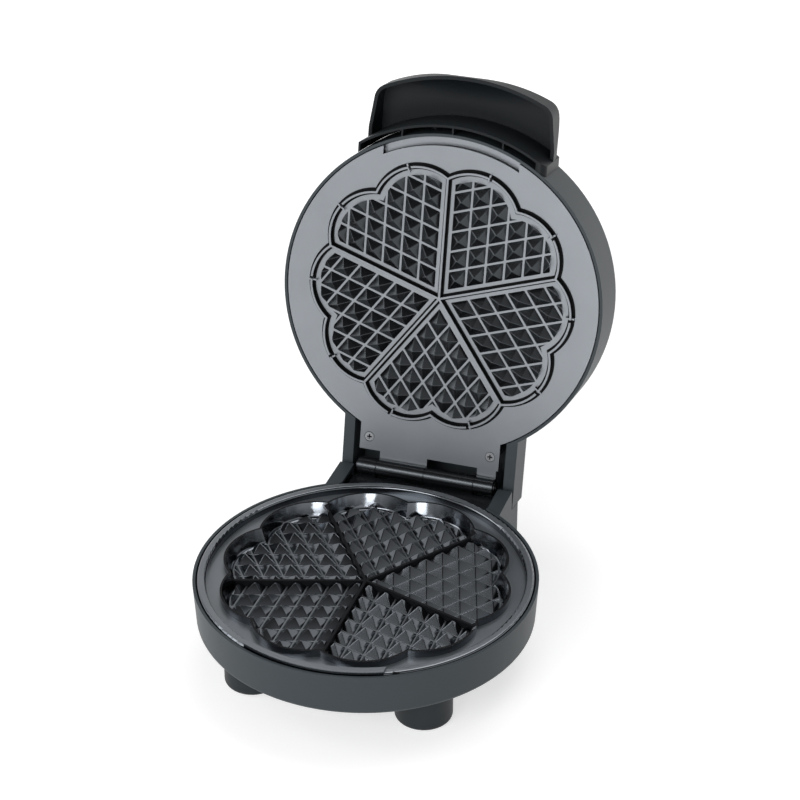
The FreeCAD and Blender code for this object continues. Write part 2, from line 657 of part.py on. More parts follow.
def base_housing():
    """Return the round base shell with its hinge block, pillars and foot holes."""
    low_r = BODY_R - BASE_TAPER
    shell = turned([(0, BASE_FLOOR_Z), (BASE_FLOOR_R, BASE_FLOOR_Z), (low_r, SKIRT_Z), (BODY_R, BASE_RIM_Z),
                    (0, BASE_RIM_Z)])
    skirt = edges_where(shell, lambda p: abs(p.z - SKIRT_Z) < 0.01 and math.hypot(p.x, p.y) > BASE_FLOOR_R)
    shell = shell.makeFillet(SKIRT_FILLET, skirt)
    block = side_prism(rear_outline(0.0), NECK_HALF)
    rear_edges = edges_where(block, lambda p: abs(p.y - REAR_Y) < 0.01 and p.z > REAR_BOTTOM_Z + WALL)
    block = block.makeFillet(REAR_FILLET, rear_edges)
    outer = shell.fuse(block)
    inner_low = ROOM_R - BASE_TAPER
    room = turned([(0, BASE_FLOOR_Z + WALL), (BASE_FLOOR_R - WALL, BASE_FLOOR_Z + WALL),
                   (inner_low, SKIRT_Z + WALL), (LEDGE_R, SEAT_Z), (POCKET_R, SEAT_Z),
                   (POCKET_R, BASE_RIM_Z), (0, BASE_RIM_Z)])
    block_room = side_prism(rear_outline(WALL), NECK_HALF - WALL)
    channel_half = TAB_HALF + TAB_CLEARANCE
    channel = box((-channel_half, channel_half), (0, HINGE_Y),
                  (LOWER_TAB_Z - STOP_GAP, BODY_R))
    body = outer.cut(room).cut(block_room).cut(channel.cut(upright(LEDGE_R, 0, BODY_R)))
    knuckle_room = Part.makeCylinder(KNUCKLE_R + 2.0 * STOP_GAP, 2.0 * channel_half,
                                     Vector(-channel_half, HINGE_Y, HINGE_Z), X_AXIS)
    body = body.cut(knuckle_room)
    pillars = []
    holes = []
    for angle in PILLAR_ANGLES:
        place = polar(PILLAR_CIRCLE_R, angle)
        pillars.append(upright(PILLAR_R, BASE_FLOOR_Z + 2.0 * WALL, SEAT_Z, place.x, place.y))
        holes.append(drilled(place.x, place.y, BASE_FLOOR_Z, SEAT_Z))
        holes.append(upright(SCREW_HEAD_R + HEAD_CLEARANCE, 0.0, SCREW_SEAT_Z, place.x, place.y))
    for x in (-FOOT_X, FOOT_X):
        holes.append(drilled(x, FOOT_Y, BASE_FLOOR_Z - OVERCUT, BASE_FLOOR_Z + WALL + OVERCUT))
    gland = Part.makeCylinder(GLAND_R + SCREW_CLEARANCE, WALL + 2.0 * OVERCUT,
                              Vector(0, REAR_Y - WALL - OVERCUT, GLAND_Z), Y_AXIS)
    return body.multiFuse(pillars).cut(Part.makeCompound(holes + [gland]))


def lid_housing():
    """Return the round lid shell with the neck that carries the hinge tab."""
    dome = turned([(0, LID_Z), (BODY_R, LID_Z), (BODY_R, LID_TOP_Z), (0, LID_TOP_Z)])
    crown = edges_where(dome, lambda p: abs(p.z - LID_TOP_Z) < 0.01 and math.hypot(p.x, p.y) > 1.0)
    dome = dome.makeFillet(LID_FILLET, crown)
    neck = box((-NECK_HALF, NECK_HALF), (0, NECK_END_Y), (LID_Z, NECK_TOP_Z))
    corner = edges_where(neck, lambda p: abs(p.z - NECK_TOP_Z) < 0.01 and p.y > 1.0)
    neck = neck.makeFillet(NECK_FILLET, corner)
    room = turned([(0, LID_Z), (POCKET_R, LID_Z), (POCKET_R, UPPER_BACK_Z), (LEDGE_R, UPPER_BACK_Z),
                   (ROOM_R, UPPER_BACK_Z + 2.0 * LEDGE), (ROOM_R, LENS_SEAT_Z), (0, LENS_SEAT_Z)])
    vault = edges_where(room, lambda p: abs(p.z - LENS_SEAT_Z) < 0.01 and math.hypot(p.x, p.y) > 1.0)
    room = room.makeFillet(LID_FILLET - WALL, vault)
    neck_room = box((-NECK_INNER_HALF, NECK_INNER_HALF), (0, NECK_END_Y - WALL), (LID_Z, NECK_TOP_Z - WALL))
    body = dome.fuse(neck).cut(room).cut(neck_room)
    hood_room = front_recess(LEDGE_R - LEDGE, POCKET_R, RECESS_HALF + RECESS_WALL + PLATE_GAP,
                             RECESS_Z + RECESS_WALL + PLATE_GAP)
    body = body.cut(hood_room)
    bosses = []
    holes = []
    for x in (-TAB_SCREW_X, TAB_SCREW_X):
        bosses.append(upright(BOSS_R, UPPER_BACK_Z, NECK_TOP_Z - WALL / 2.0, x, TAB_SCREW_Y))
        holes.append(drilled(x, TAB_SCREW_Y, UPPER_BACK_Z, UPPER_BACK_Z + TAB_SCREW_LENGTH))
    for x in (-LENS_X, LENS_X):
        holes.append(upright(LENS_R + LENS_CLEARANCE, LENS_SEAT_Z - OVERCUT, LID_TOP_Z + OVERCUT, x, LENS_Y))
    for x in handle_screw_places():
        start = Vector(x, -BODY_R - OVERCUT, HANDLE_RIM_Z)
        holes.append(Part.makeCylinder(SCREW_R + SCREW_CLEARANCE, BODY_R / 2.0, start, Y_AXIS))
    return body.multiFuse(bosses).cut(Part.makeCompound(holes))


# Handle

def handle_plan(inset, low, high):
    """Return the handle's plan as a prism: flanks that narrow to a bowed, round-cornered front."""
    half = HANDLE_HALF - inset
    front = HANDLE_FRONT - inset
    tip = half - HANDLE_NARROWING * (front - HANDLE_ROOT)
    outline = [(-half, 0), (-half, HANDLE_ROOT), (-tip, front), (tip, front), (half, HANDLE_ROOT), (half, 0)]
    slab = prism([Vector(x, -reach, low) for x, reach in outline], high - low, Z_AXIS)
    bow = upright(HANDLE_FRONT_R - inset, low, high, 0, HANDLE_FRONT_R - HANDLE_FRONT)
    slab = slab.common(bow)
    middle = 0.5 * (low + high)
    corners = edges_where(slab, lambda p: abs(p.z - middle) < 0.01 and -p.y > HANDLE_ROOT + 0.01)
    return slab.makeFillet(HANDLE_CORNER_R - inset, corners)


def shoulder(corner, wide, inner, low, high):
    """Return the outline of a flat-topped form whose one upper corner is a soft curve."""
    curve = Part.BezierCurve()
    curve.setPoles([corner(wide, low), corner(wide, high), corner(inner, high)])
    edges = [Part.makeLine(corner(0, low), corner(wide, low)),
             curve.toShape(),
             Part.makeLine(corner(inner, high), corner(0, high)),
             Part.makeLine(corner(0, high), corner(0, low))]
    return Part.Face(Part.Wire(edges))


def handle_shape(inset):
    """Return the handle's outer form, or its hollow for an inset of one wall."""
    top = HANDLE_TOP_Z - inset
    front = HANDLE_FRONT - inset
    half = HANDLE_HALF - inset
    spread = HANDLE_HALF + HANDLE_WALL
    form = handle_plan(inset, HANDLE_RIM_Z - HANDLE_WALL, HANDLE_TOP_Z + HANDLE_WALL)
    brow = shoulder(lambda reach, z: Vector(-spread, -reach, z),
                    front, front - HANDLE_BROW, HANDLE_RIM_Z, top).extrude(X_AXIS * (2.0 * spread))
    flank = shoulder(lambda reach, z: Vector(reach, HANDLE_WALL, z),
                     half, half - HANDLE_FLANK, HANDLE_RIM_Z - HANDLE_WALL, top + HANDLE_WALL)
    flank = flank.extrude(Y_AXIS * -(front + 2.0 * HANDLE_WALL))
    return form.common(brow).common(flank.fuse(mirrored(flank)))


def handle_screw_places():
    """Return the X of each handle screw, in the middle of a pocket."""
    return (-POCKET_PITCH / 2.0, POCKET_PITCH / 2.0)


def handle():
    """Return the scooped handle: open below, with ribbed pockets along the lid's wall."""
    visor = handle_shape(0.0).cut(handle_shape(HANDLE_WALL))
    arc_in = ARC_OUTER_R - POCKET_WALL
    strip = box((-HANDLE_HALF, HANDLE_HALF), (-ARC_OUTER_R, 0),
                (LID_Z, HANDLE_TOP_Z - HANDLE_WALL / 2.0))
    post_edge = edges_where(strip, lambda p: abs(p.z - LID_Z) < 0.01 and abs(p.x - HANDLE_HALF) < 0.01)
    strip = strip.makeFillet(HANDLE_POST_ROUND, post_edge)
    ring = upright(ARC_OUTER_R, LID_Z, HANDLE_TOP_Z).cut(upright(arc_in, LID_Z, HANDLE_TOP_Z))
    arc_wall = ring.common(strip)
    pocket = upright(arc_in + POCKET_WALL / 2.0, LID_Z, HANDLE_TOP_Z).common(strip)
    fins = [box((x - POCKET_RIB / 2.0, x + POCKET_RIB / 2.0), (-ARC_OUTER_R, 0), (LID_Z, HANDLE_TOP_Z))
            for x in (-POCKET_PITCH, 0.0, POCKET_PITCH)]
    fins += [box(span, (-ARC_OUTER_R, 0), (LID_Z, HANDLE_TOP_Z))
             for span in ((-HANDLE_HALF, POCKET_END - HANDLE_HALF), (HANDLE_HALF - HANDLE_POST, HANDLE_HALF))]
    pieces = [arc_wall] + [fin.common(pocket) for fin in fins]
    for x in handle_screw_places():
        boss = Part.makeCylinder(HANDLE_BOSS_R, ARC_OUTER_R, Vector(x, -ARC_OUTER_R, HANDLE_RIM_Z), Y_AXIS)
        pieces.append(boss.common(pocket))
    body = visor.multiFuse(pieces).cut(upright(HANDLE_SEAT_R, 0, LID_TOP_Z))
    holes = []
    for x in handle_screw_places():
        wall_y = math.sqrt(HANDLE_SEAT_R ** 2 - x ** 2)
        start = Vector(x, -wall_y - POCKET_DEPTH, HANDLE_RIM_Z)
        holes.append(Part.makeCylinder(SCREW_R + SCREW_CLEARANCE, POCKET_DEPTH * 2.0, start, Y_AXIS))
    return body.cut(Part.makeCompound(holes))


def handle_screws():
    """Return the screws that hold the handle, driven from inside the lid."""
    screws = []
    for x in handle_screw_places():
        seat_y = math.sqrt(ROOM_R ** 2 - (abs(x) + SCREW_HEAD_R) ** 2)
        tip_y = math.sqrt(HANDLE_SEAT_R ** 2 - x ** 2) + POCKET_DEPTH - SCREW_CLEARANCE
        screw = pan_screw(tip_y - seat_y)
        screw.rotate(Vector(0, 0, 0), X_AXIS, 90.0)
        screws.append(placed(screw, x, -seat_y, HANDLE_RIM_Z))
    return Part.makeCompound(screws)


# Feet and fasteners

def front_foot():
    """Return the right front foot, with its screw's deep counterbore."""
    foot = upright(FOOT_R, 0.0, BASE_FLOOR_Z, FOOT_X, FOOT_Y)
    toe = edges_where(foot, lambda p: abs(p.z) < 0.01)
    foot = foot.makeFillet(FOOT_FILLET, toe)
    foot = foot.cut(upright(SCREW_HEAD_R + HEAD_CLEARANCE, 0.0, FOOT_SCREW_DEPTH, FOOT_X, FOOT_Y))
    return foot.cut(drilled(FOOT_X, FOOT_Y, 0.0, BASE_FLOOR_Z))


def rear_pad():
    """Return the right rear pad under the hinge block."""
    return upright(REAR_PAD_R, 0.0, REAR_BOTTOM_Z, REAR_PAD_X, REAR_PAD_Y)


def foot_screws():
    """Return the screws of the front feet."""
    screw = pan_screw(BASE_FLOOR_Z + WALL - FOOT_SCREW_DEPTH)
    return Part.makeCompound([placed(screw, x, FOOT_Y, FOOT_SCREW_DEPTH) for x in (-FOOT_X, FOOT_X)])


def lower_plate_screws():
    """Return the screws that pull the lower plate onto its ledge."""
    screw = pan_screw(SEAT_Z + SCREW_BITE - SCREW_CLEARANCE - SCREW_SEAT_Z)
    places = [polar(PILLAR_CIRCLE_R, angle) for angle in PILLAR_ANGLES]
    return Part.makeCompound([placed(screw, p.x, p.y, SCREW_SEAT_Z) for p in places])


def upper_plate_screws():
    """Return the two cross-head screws in the upper plate's tab."""
    screw = pan_screw(TAB_SCREW_LENGTH)
    seat = LID_Z + SCREW_HEAD_H
    return Part.makeCompound([placed(screw, x, TAB_SCREW_Y, seat) for x in (-TAB_SCREW_X, TAB_SCREW_X)])


# Heating parts

def heating_element(z):
    """Return a tubular ring element whose ends bend to the rear terminals."""
    half_gap = ELEMENT_GAP_ANGLE / 2.0
    start = -FRONT_ANGLE + half_gap
    face = Part.Face(Part.Wire(Part.makeCircle(ELEMENT_TUBE_R, Vector(ELEMENT_RING_R, 0, z), Y_AXIS)))
    ring = spun(face, start).revolve(Vector(0, 0, 0), Z_AXIS, 360.0 - ELEMENT_GAP_ANGLE)
    legs = []
    for side in (-1.0, 1.0):
        end = polar(ELEMENT_RING_R, -FRONT_ANGLE + side * half_gap, z)
        along = polar(1.0, -FRONT_ANGLE + side * (half_gap - 90.0))
        legs.append(Part.makeCylinder(ELEMENT_LEG_R, ELEMENT_LEG, end, along))
    return ring.multiFuse(legs)


def reflector(z, up, windows):
    """Return a hemmed sheet disc on the element, with its screw hole and windows."""
    low, high = sorted((z, z + REFLECTOR_SHEET * up))
    disc = upright(REFLECTOR_R, low, high)
    low, high = sorted((z, z + REFLECTOR_HEM * up))
    hem = upright(REFLECTOR_R, low, high).cut(upright(REFLECTOR_R - REFLECTOR_SHEET, low, high))
    holes = [drilled(0, 0, low - OVERCUT, high + OVERCUT)]
    holes += [upright(radius, low - OVERCUT, high + OVERCUT, x, y) for radius, x, y in windows]
    return disc.fuse(hem).cut(Part.makeCompound(holes))


def thermostat():
    """Return the snap-disc thermostat on the lower plate's back, with its blades."""
    low = LOWER_BACK_Z - THERMOSTAT_H
    can = upright(THERMOSTAT_R, low, LOWER_BACK_Z, THERMOSTAT_X, THERMOSTAT_Y)
    half = THERMOSTAT_BLADE_SHEET / 2.0
    depth = (THERMOSTAT_Y - THERMOSTAT_BLADE / 2.0, THERMOSTAT_Y + THERMOSTAT_BLADE / 2.0)
    places = [THERMOSTAT_X + side * THERMOSTAT_R / 2.0 for side in (-1.0, 1.0)]
    blades = [box((x - half, x + half), depth, (low - THERMOSTAT_BLADE_DROP, LOWER_BACK_Z)) for x in places]
    return can.multiFuse(blades)


def thermal_fuse():
    """Return the thermal fuse that lies against the lower plate's back."""
    z = LOWER_BACK_Z - FUSE_R - ELEMENT_CLEARANCE
    start = Vector(-THERMOSTAT_X - FUSE_LENGTH / 2.0, THERMOSTAT_Y, z)
    body = Part.makeCylinder(FUSE_R, FUSE_LENGTH, start, X_AXIS)
    lead = Part.makeCylinder(FUSE_LEAD_R, FUSE_LENGTH + 2.0 * FUSE_LEAD, start - X_AXIS * FUSE_LEAD, X_AXIS)
    return body.fuse(lead)


def terminal_block():
    """Return the terminal block on the floor of the hinge block."""
    width, depth, height = TERMINAL_SIZE
    low = REAR_BOTTOM_Z + WALL
    middle = low + height / 2.0
    front = TERMINAL_Y - depth / 2.0
    block = box((-width / 2.0, width / 2.0), (front, front + depth), (low, low + height))
    holes = []
    for pole in (-1.0, 0.0, 1.0):
        x = pole * width / 3.0
        holes.append(Part.makeCylinder(TERMINAL_BORE_R, depth, Vector(x, front, middle), Y_AXIS))
        holes.append(upright(TERMINAL_SCREW_R, middle, low + height, x, TERMINAL_Y))
    return block.cut(Part.makeCompound(holes))


def cord_gland():
    """Return the bush in the rear wall, empty where the cord would pass."""
    inner_y = REAR_Y - GLAND_TAIL
    flange = Part.makeCylinder(GLAND_FLANGE_R, GLAND_FLANGE, Vector(0, REAR_Y, GLAND_Z), Y_AXIS)
    tail = Part.makeCylinder(GLAND_R, GLAND_TAIL, Vector(0, inner_y, GLAND_Z), Y_AXIS)
    bore = Part.makeCylinder(GLAND_BORE_R, GLAND_TAIL + GLAND_FLANGE, Vector(0, inner_y, GLAND_Z), Y_AXIS)
    return flange.fuse(tail).cut(bore)


# Signal lamps

def signal_lens(x):
    """Return one lens button in the lid's top."""
    stem = upright(LENS_R, LENS_SEAT_Z, LID_TOP_Z + LENS_RISE, x, LENS_Y)
    crown = edges_where(stem, lambda p: p.z > LID_TOP_Z + LENS_RISE - 0.01)
    stem = stem.makeFillet(LENS_FILLET, crown)
    return stem.fuse(upright(LENS_R + LENS_FLANGE, LENS_SEAT_Z - LENS_FLANGE_H, LENS_SEAT_Z, x, LENS_Y))


def signal_lamps():
    """Return the lamps that sit behind the lenses."""
    top = LENS_SEAT_Z - LENS_FLANGE_H
    return Part.makeCompound([upright(LAMP_R, top - LAMP_LENGTH, top, x, LENS_Y) for x in (-LENS_X, LENS_X)])


def build():
    """Return every piece by its node name, in the resting pose with the lid open."""
    window = (THERMOSTAT_R + THERMOSTAT_WINDOW, THERMOSTAT_X, THERMOSTAT_Y)
    sheet_screw = pan_screw(SCREW_BITE + REFLECTOR_SHEET)
    foot = front_foot()
    pad = rear_pad()
    pieces = {
        "base_housing": base_housing(),
        "lower_plate": lower_plate(),
        "lower_heating_element": heating_element(LOWER_BACK_Z - ELEMENT_ROOM / 2.0),
        "lower_reflector": reflector(LOWER_SHEET_Z, -1.0, [window]),
        "lower_reflector_screw": placed(sheet_screw, 0, 0, LOWER_SHEET_Z - REFLECTOR_SHEET),
        "thermostat": thermostat(),
        "thermal_fuse": thermal_fuse(),
        "terminal_block": terminal_block(),
        "cord_gland": cord_gland(),
        "lower_plate_screws": lower_plate_screws(),
        "front_foot_right": foot,
        "front_foot_left": mirrored(foot),
        "rear_pad_right": pad,
        "rear_pad_left": mirrored(pad),
        "foot_screws": foot_screws(),
        "hinge_pin": hinge_pin(),
        "hinge_clips": hinge_clips(),
    }
    lid = {
        "lid_housing": lid_housing(),
        "upper_plate": upper_plate(),
        "upper_heating_element": heating_element(CORE_BACK_Z + ELEMENT_ROOM / 2.0),
        "upper_reflector": reflector(UPPER_SHEET_Z, 1.0, []),
        "upper_reflector_screw": placed(flipped(sheet_screw), 0, 0, UPPER_SHEET_Z + REFLECTOR_SHEET),
        "upper_plate_screws": upper_plate_screws(),
        "handle": handle(),
        "handle_screws": handle_screws(),
        "power_lens": signal_lens(-LENS_X),
        "ready_lens": signal_lens(LENS_X),
        "signal_lamps": signal_lamps(),
    }
    pieces.update({name: opened(shape) for name, shape in lid.items()})
    return pieces


def main():
    """Write each piece to its own file, with the origin under the open appliance."""
    os.makedirs("parts", exist_ok=True)
    for name, shape in build().items():
        if not shape.isValid():
            raise ValueError("invalid shape: " + name)
        shape.translate(Vector(0, -MIDDLE_Y, 0))
        shape.exportStep(os.path.join("parts", name + ".step"))
        print(name, len(shape.Solids), round(shape.Volume / 1000.0, 2))


main()
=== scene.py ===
"""Studio scene of the heart waffle maker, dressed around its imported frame."""
from __future__ import annotations

import json
import logging
from dataclasses import dataclass
from enum import Enum, IntEnum
from functools import cached_property, partial
from math import atan2, cos, degrees, hypot, pi, radians, sin, sqrt
from typing import Any

import bmesh
import bpy
from bmesh.types import BMesh, BMVert
from bpy.types import Material, Node, NodeSocket, NodeTree, Object
from mathutils import Matrix, Vector

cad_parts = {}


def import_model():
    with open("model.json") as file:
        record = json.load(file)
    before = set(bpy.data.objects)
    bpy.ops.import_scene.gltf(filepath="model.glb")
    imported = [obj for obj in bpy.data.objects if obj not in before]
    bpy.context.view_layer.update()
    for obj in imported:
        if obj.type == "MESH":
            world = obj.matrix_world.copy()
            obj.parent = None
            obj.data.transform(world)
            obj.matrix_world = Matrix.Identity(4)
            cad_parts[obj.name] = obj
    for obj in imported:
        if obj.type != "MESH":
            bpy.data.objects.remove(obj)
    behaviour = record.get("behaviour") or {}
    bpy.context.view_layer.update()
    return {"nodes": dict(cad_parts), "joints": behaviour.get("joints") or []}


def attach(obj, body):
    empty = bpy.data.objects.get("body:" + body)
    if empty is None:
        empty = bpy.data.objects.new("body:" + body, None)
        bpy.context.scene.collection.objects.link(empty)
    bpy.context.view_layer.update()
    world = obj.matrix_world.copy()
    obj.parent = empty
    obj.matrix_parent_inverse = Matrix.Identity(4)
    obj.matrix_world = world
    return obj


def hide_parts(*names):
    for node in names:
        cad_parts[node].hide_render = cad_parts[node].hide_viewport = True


LOG = logging.getLogger("waffle_maker")
MM = 0.001
IMAGE_PX = 800
SENSOR_MM = 36.0
WHITE = (1.0, 1.0, 1.0, 1.0)


class Body(str, Enum):
    """The two bodies that the hinge joins."""

    BASE = "base"
    LID = "lid"


class Slot(str, Enum):
    """Material slots of the record."""

    HOUSING = "housing_plastic"
    FOOT = "foot_plastic"
    PLATE = "nonstick_plate"
    SCREW = "screw_steel"
    RUBBER = "gland_rubber"


class Coat(IntEnum):
    """The faces of a coated casting, in the order of its finishes."""

    # Level faces get a lighter copy of the coat as painted light, slopes a darker one as painted
    # shade, steep and sunken faces the darkest painted shade.
    LEVEL = 0
    CAST = 1
    SHADE = 2
    KNUCKLE = 3


# Colours, directions and nodes

def linear(code: str) -> tuple[float, float, float, float]:
    """Turn an sRGB hex colour into linear light.

    Args:
        code: The colour as "#rrggbb".

    Returns:
        Red, green, blue and an alpha of one.
    """
    shares = [int(code[place:place + 2], 16) / 255.0 for place in (1, 3, 5)]
    light = [s / 12.92 if s <= 0.04045 else ((s + 0.055) / 1.055) ** 2.4 for s in shares]
    return light[0], light[1], light[2], 1.0


def toward(angle: float) -> Vector:
    """Return the level direction at an angle in radians."""
    return Vector((cos(angle), sin(angle), 0.0))


def fill(node: Node, inputs: dict[Any, Any]) -> None:
    """Give a node's sockets their values and links.

    Args:
        node: The node.
        inputs: What goes into its sockets; a node or a socket is linked.
    """
    for key, value in inputs.items():
        if isinstance(value, Node):
            value = value.outputs[0]
        if isinstance(value, NodeSocket):
            node.id_data.links.new(value, node.inputs[key])
        else:
            node.inputs[key].default_value = value


def add_node(tree: NodeTree, kind: str, inputs: dict[Any, Any] | None = None,
             **settings: Any) -> Node:
    """Add one node with its settings, its values and its links.

    Args:
        tree: The tree that gets the node.
        kind: The node's type name.
        inputs: What goes into its sockets.
        settings: Properties of the node.

    Returns:
        The new node.
    """
    node = tree.nodes.new(kind)
    for name, value in settings.items():
        setattr(node, name, value)
    fill(node, inputs or {})
    return node


# Finishes

@dataclass(frozen=True)
class Finish:
    """A surface finish: a base colour and how rough it is.

    Attributes:
        name: The material's common name.
        colour: The main colour, sRGB hex.
        roughness: The mean roughness.
    """

    name: str
    colour: str
    roughness: float

    def material(self) -> Material:
        """Return the finish as a node material, made once.

        Returns:
            The material.
        """
        made = bpy.data.materials.get(self.name)
        if made is not None:
            return made
        made = bpy.data.materials.new(self.name)
        made.use_nodes = True
        made.diffuse_color = linear(self.colour)
        shader = made.node_tree.nodes["Principled BSDF"]
        fill(shader, {"Base Color": linear(self.colour), "Roughness": self.roughness})
        self.wire(shader)
        return made

    def wire(self, shader: Node) -> None:
        """Add what is special to the finish; the plain one has nothing to add."""

    def mottle(self, shader: Node, patch_mm: float, tone: float, sheen: float) -> NodeSocket:
        """Vary the colour and the roughness slowly over the surface.

        Args:
            shader: The material's shader.
            patch_mm: The size of a patch.
            tone: How far the colour goes to each side, as a share.
            sheen: How far the roughness goes to each side.

        Returns:
            The piece's own coordinates, for further patterns.
        """
        add = partial(add_node, shader.id_data)
        place = add("ShaderNodeTexCoord").outputs["Object"]
        cloud = add("ShaderNodeTexNoise", {
            "Vector": place, "Scale": 1.0 / (patch_mm * MM), "Detail": 3.0})
        base = linear(self.colour)
        dark = tuple(c * (1.0 - tone) for c in base[:3]) + (1.0,)
        light = tuple(c * (1.0 + tone) for c in base[:3]) + (1.0,)
        tint = add("ShaderNodeMix", {0: cloud, 6: dark, 7: light}, data_type="RGBA")
        rough = add("ShaderNodeMapRange", {
            "Value": cloud, 3: self.roughness - sheen, 4: self.roughness + sheen})
        fill(shader, {"Base Color": tint.outputs[2], "Roughness": rough})
        return place

    def relief(self, shader: Node, place: Node | NodeSocket, spacing_mm: float, depth_mm: float,
               strength: float, detail: float = 2.0) -> None:
        """Raise a fine pattern on the surface.

        Args:
            shader: The material's shader.
            place: The coordinates.
            spacing_mm: The spacing of the pattern.
            depth_mm: Its depth.
            strength: How much of the depth shows.
            detail: The levels of finer pattern on the main one.
        """
        add = partial(add_node, shader.id_data)
        pattern = add("ShaderNodeTexNoise", {
            "Vector": place, "Scale": 1.0 / (spacing_mm * MM), "Detail": detail})
        fill(shader, {"Normal": add("ShaderNodeBump", {
            "Strength": strength, "Distance": depth_mm * MM, "Height": pattern})})


@dataclass(frozen=True)
class Moulded(Finish):
    """A body moulded in an eroded tool: an even, fine, matt grain.

    Attributes:
        grain_mm: The spacing of the grain; drawn coarser than the real 0.2 mm so that it shows.
        depth_mm: The depth of the grain.
        gloss: The level of the clear reflection; the grain's pits swallow most of it.
        ior: The index of refraction.
    """

    grain_mm: float = 0.9
    depth_mm: float = 0.03
    gloss: float = 0.25
    ior: float = 1.5

    def wire(self, shader: Node) -> None:
        """Add the moulded grain, whose fine pits dull the shine, and a slow change of tone.

        Args:
            shader: The material's shader.
        """
        fill(shader, {"IOR": self.ior, "Specular IOR Level": self.gloss})
        place = self.mottle(shader, patch_mm=38.0, tone=0.05, sheen=0.03)
        self.relief(shader, place, self.grain_mm, self.depth_mm, strength=0.5)


@dataclass(frozen=True)
class NonStickCoat(Finish):
    """Sprayed non-stick coat on cast aluminium: dark, with a metal gleam and a fine orange peel.

    Attributes:
        gloss: The level of the clear reflection; the painted shade on steep faces has little, so
            that it stays black.
        gleam: The share of metal in the reflection.
        peel_mm: The width of one dimple of the sprayed coat.
        depth_mm: The depth of the dimples.
    """

    gloss: float
    gleam: float
    peel_mm: float = 1.4
    depth_mm: float = 0.012

    def wire(self, shader: Node) -> None:
        """Add the gleam, the orange peel and a slow change of tone.

        Args:
            shader: The material's shader.
        """
        fill(shader, {"Metallic": self.gleam, "Specular IOR Level": self.gloss})
        place = self.mottle(shader, patch_mm=24.0, tone=0.06, sheen=0.03)
        self.relief(shader, place, self.peel_mm, self.depth_mm, strength=0.35)


@dataclass(frozen=True)
class BareMetal(Finish):
    """Plain metal, drawn or rolled: fine lines along one direction.

    Attributes:
        line_mm: The spacing of the lines; drawn coarser than real ones so that they show.
        along: The stretch of the pattern in X, Y and Z; a small number makes long lines.
        depth_mm: The depth of the lines.
    """

    line_mm: float
    along: tuple[float, float, float]
    depth_mm: float = 0.01

    def wire(self, shader: Node) -> None:
        """Add the lines to the relief, and a slow change of tone.

        Args:
            shader: The material's shader.
        """
        fill(shader, {"Metallic": 1.0})
        place = self.mottle(shader, patch_mm=12.0, tone=0.08, sheen=0.05)
        drawn = add_node(shader.id_data, "ShaderNodeMapping", {
            "Vector": place, "Scale": self.along})
        self.relief(shader, drawn, self.line_mm, self.depth_mm, strength=0.2, detail=3.0)


@dataclass(frozen=True)
class ClearLens(Finish):
    """Clear polished lens or bulb: the light passes and takes the colour.

    Attributes:
        passes: The share of light that passes.
        ior: The index of refraction, that of polycarbonate.
    """

    passes: float = 0.75
    ior: float = 1.58

    def wire(self, shader: Node) -> None:
        """Let the light through."""
        fill(shader, {"Transmission Weight": self.passes, "IOR": self.ior})
        self.mottle(shader, patch_mm=9.0, tone=0.04, sheen=0.01)


# ABS with an eroded grain: a blue-tinged dark grey that hardly shines.
HOUSING = Moulded("matt_anthracite_abs", "#3a4145", 0.46)
# Polyamide with the same grain: a black moulding, drawn darker still as painted shade so that the
# scoop looks deep.
GRIP = Moulded("matt_black_polyamide_painted_shade", "#1b1f22", 0.42, gloss=0.14)
# ABS drawn darker than the housing: painted shade, so that the feet recede under the body.
FOOT = Moulded("matt_abs_painted_shade", "#262b2e", 0.5)
# Silicone rubber: a dead matt black.
RUBBER = Moulded("black_silicone_rubber", "#1b1c1d", 0.72, grain_mm=1.1)
# Steatite, pressed and fired: a cream body with a dry, even face.
CERAMIC = Moulded("cream_steatite", "#d8d2c2", 0.55, grain_mm=0.8, depth_mm=0.02)
# Non-stick coat on level faces: a lighter copy of the coat, painted light; satin grey that
# mirrors the room softly.
COAT_LEVEL_LIT = NonStickCoat("nonstick_coat_level_painted_light", "#868a8f", 0.3, gloss=0.5, gleam=0.75)
# Non-stick coat on slopes, pyramids and knuckles: a darker copy of the coat, painted shade; dark
# facets with a dull metal gleam.
COAT_SLOPE_SHADED = NonStickCoat("nonstick_coat_slope_painted_shade", "#404346", 0.27, gloss=0.5, gleam=0.9)
# Non-stick coat in the deep plate: brighter than the lid's slope coat, painted light; the sharp
# highlights on the walls come from the lamps.
COAT_DEEP_SLOPE_LIT = NonStickCoat("nonstick_coat_deep_slope_painted_light", "#6c7075", 0.15, gloss=0.5, gleam=1.0)
# Non-stick coat on steep and sunken faces: painted shade, black lines with hardly any shine.
COAT_SHADE = NonStickCoat("nonstick_coat_steep_painted_shade", "#17181a", 0.5, gloss=0.1, gleam=0.0)
# Zinc-plated steel: bright grey with faint lines.
STEEL = BareMetal("zinc_plated_steel", "#a3a5a8", 0.3, 0.5, (1.0, 1.0, 0.15))
# Blackened steel, drawn: a dark rod with one long streak of light.
BLACK_STEEL = BareMetal("blackened_steel", "#2e2f31", 0.38, 0.5, (0.15, 1.0, 1.0))
# Sheath steel, oxidised by heat: a dull brownish grey.
SHEATH = BareMetal("oxidised_sheath_steel", "#6b6660", 0.45, 0.6, (1.0, 1.0, 1.0))
# Aluminium sheet, rolled: pale and bright, with lines across.
SHEET = BareMetal("bright_aluminium_sheet", "#d2d4d6", 0.28, 0.4, (0.1, 1.0, 1.0))
# Polycarbonate, polished: clear deep red and green with a small sharp highlight.
RED_LENS = ClearLens("red_polycarbonate", "#b3261e", 0.12)
GREEN_LENS = ClearLens("green_polycarbonate", "#2f9a48", 0.12)
# Lamp glass: clear, with a warm tint.
LAMP_GLASS = ClearLens("neon_lamp_glass", "#e6d8c8", 0.08)


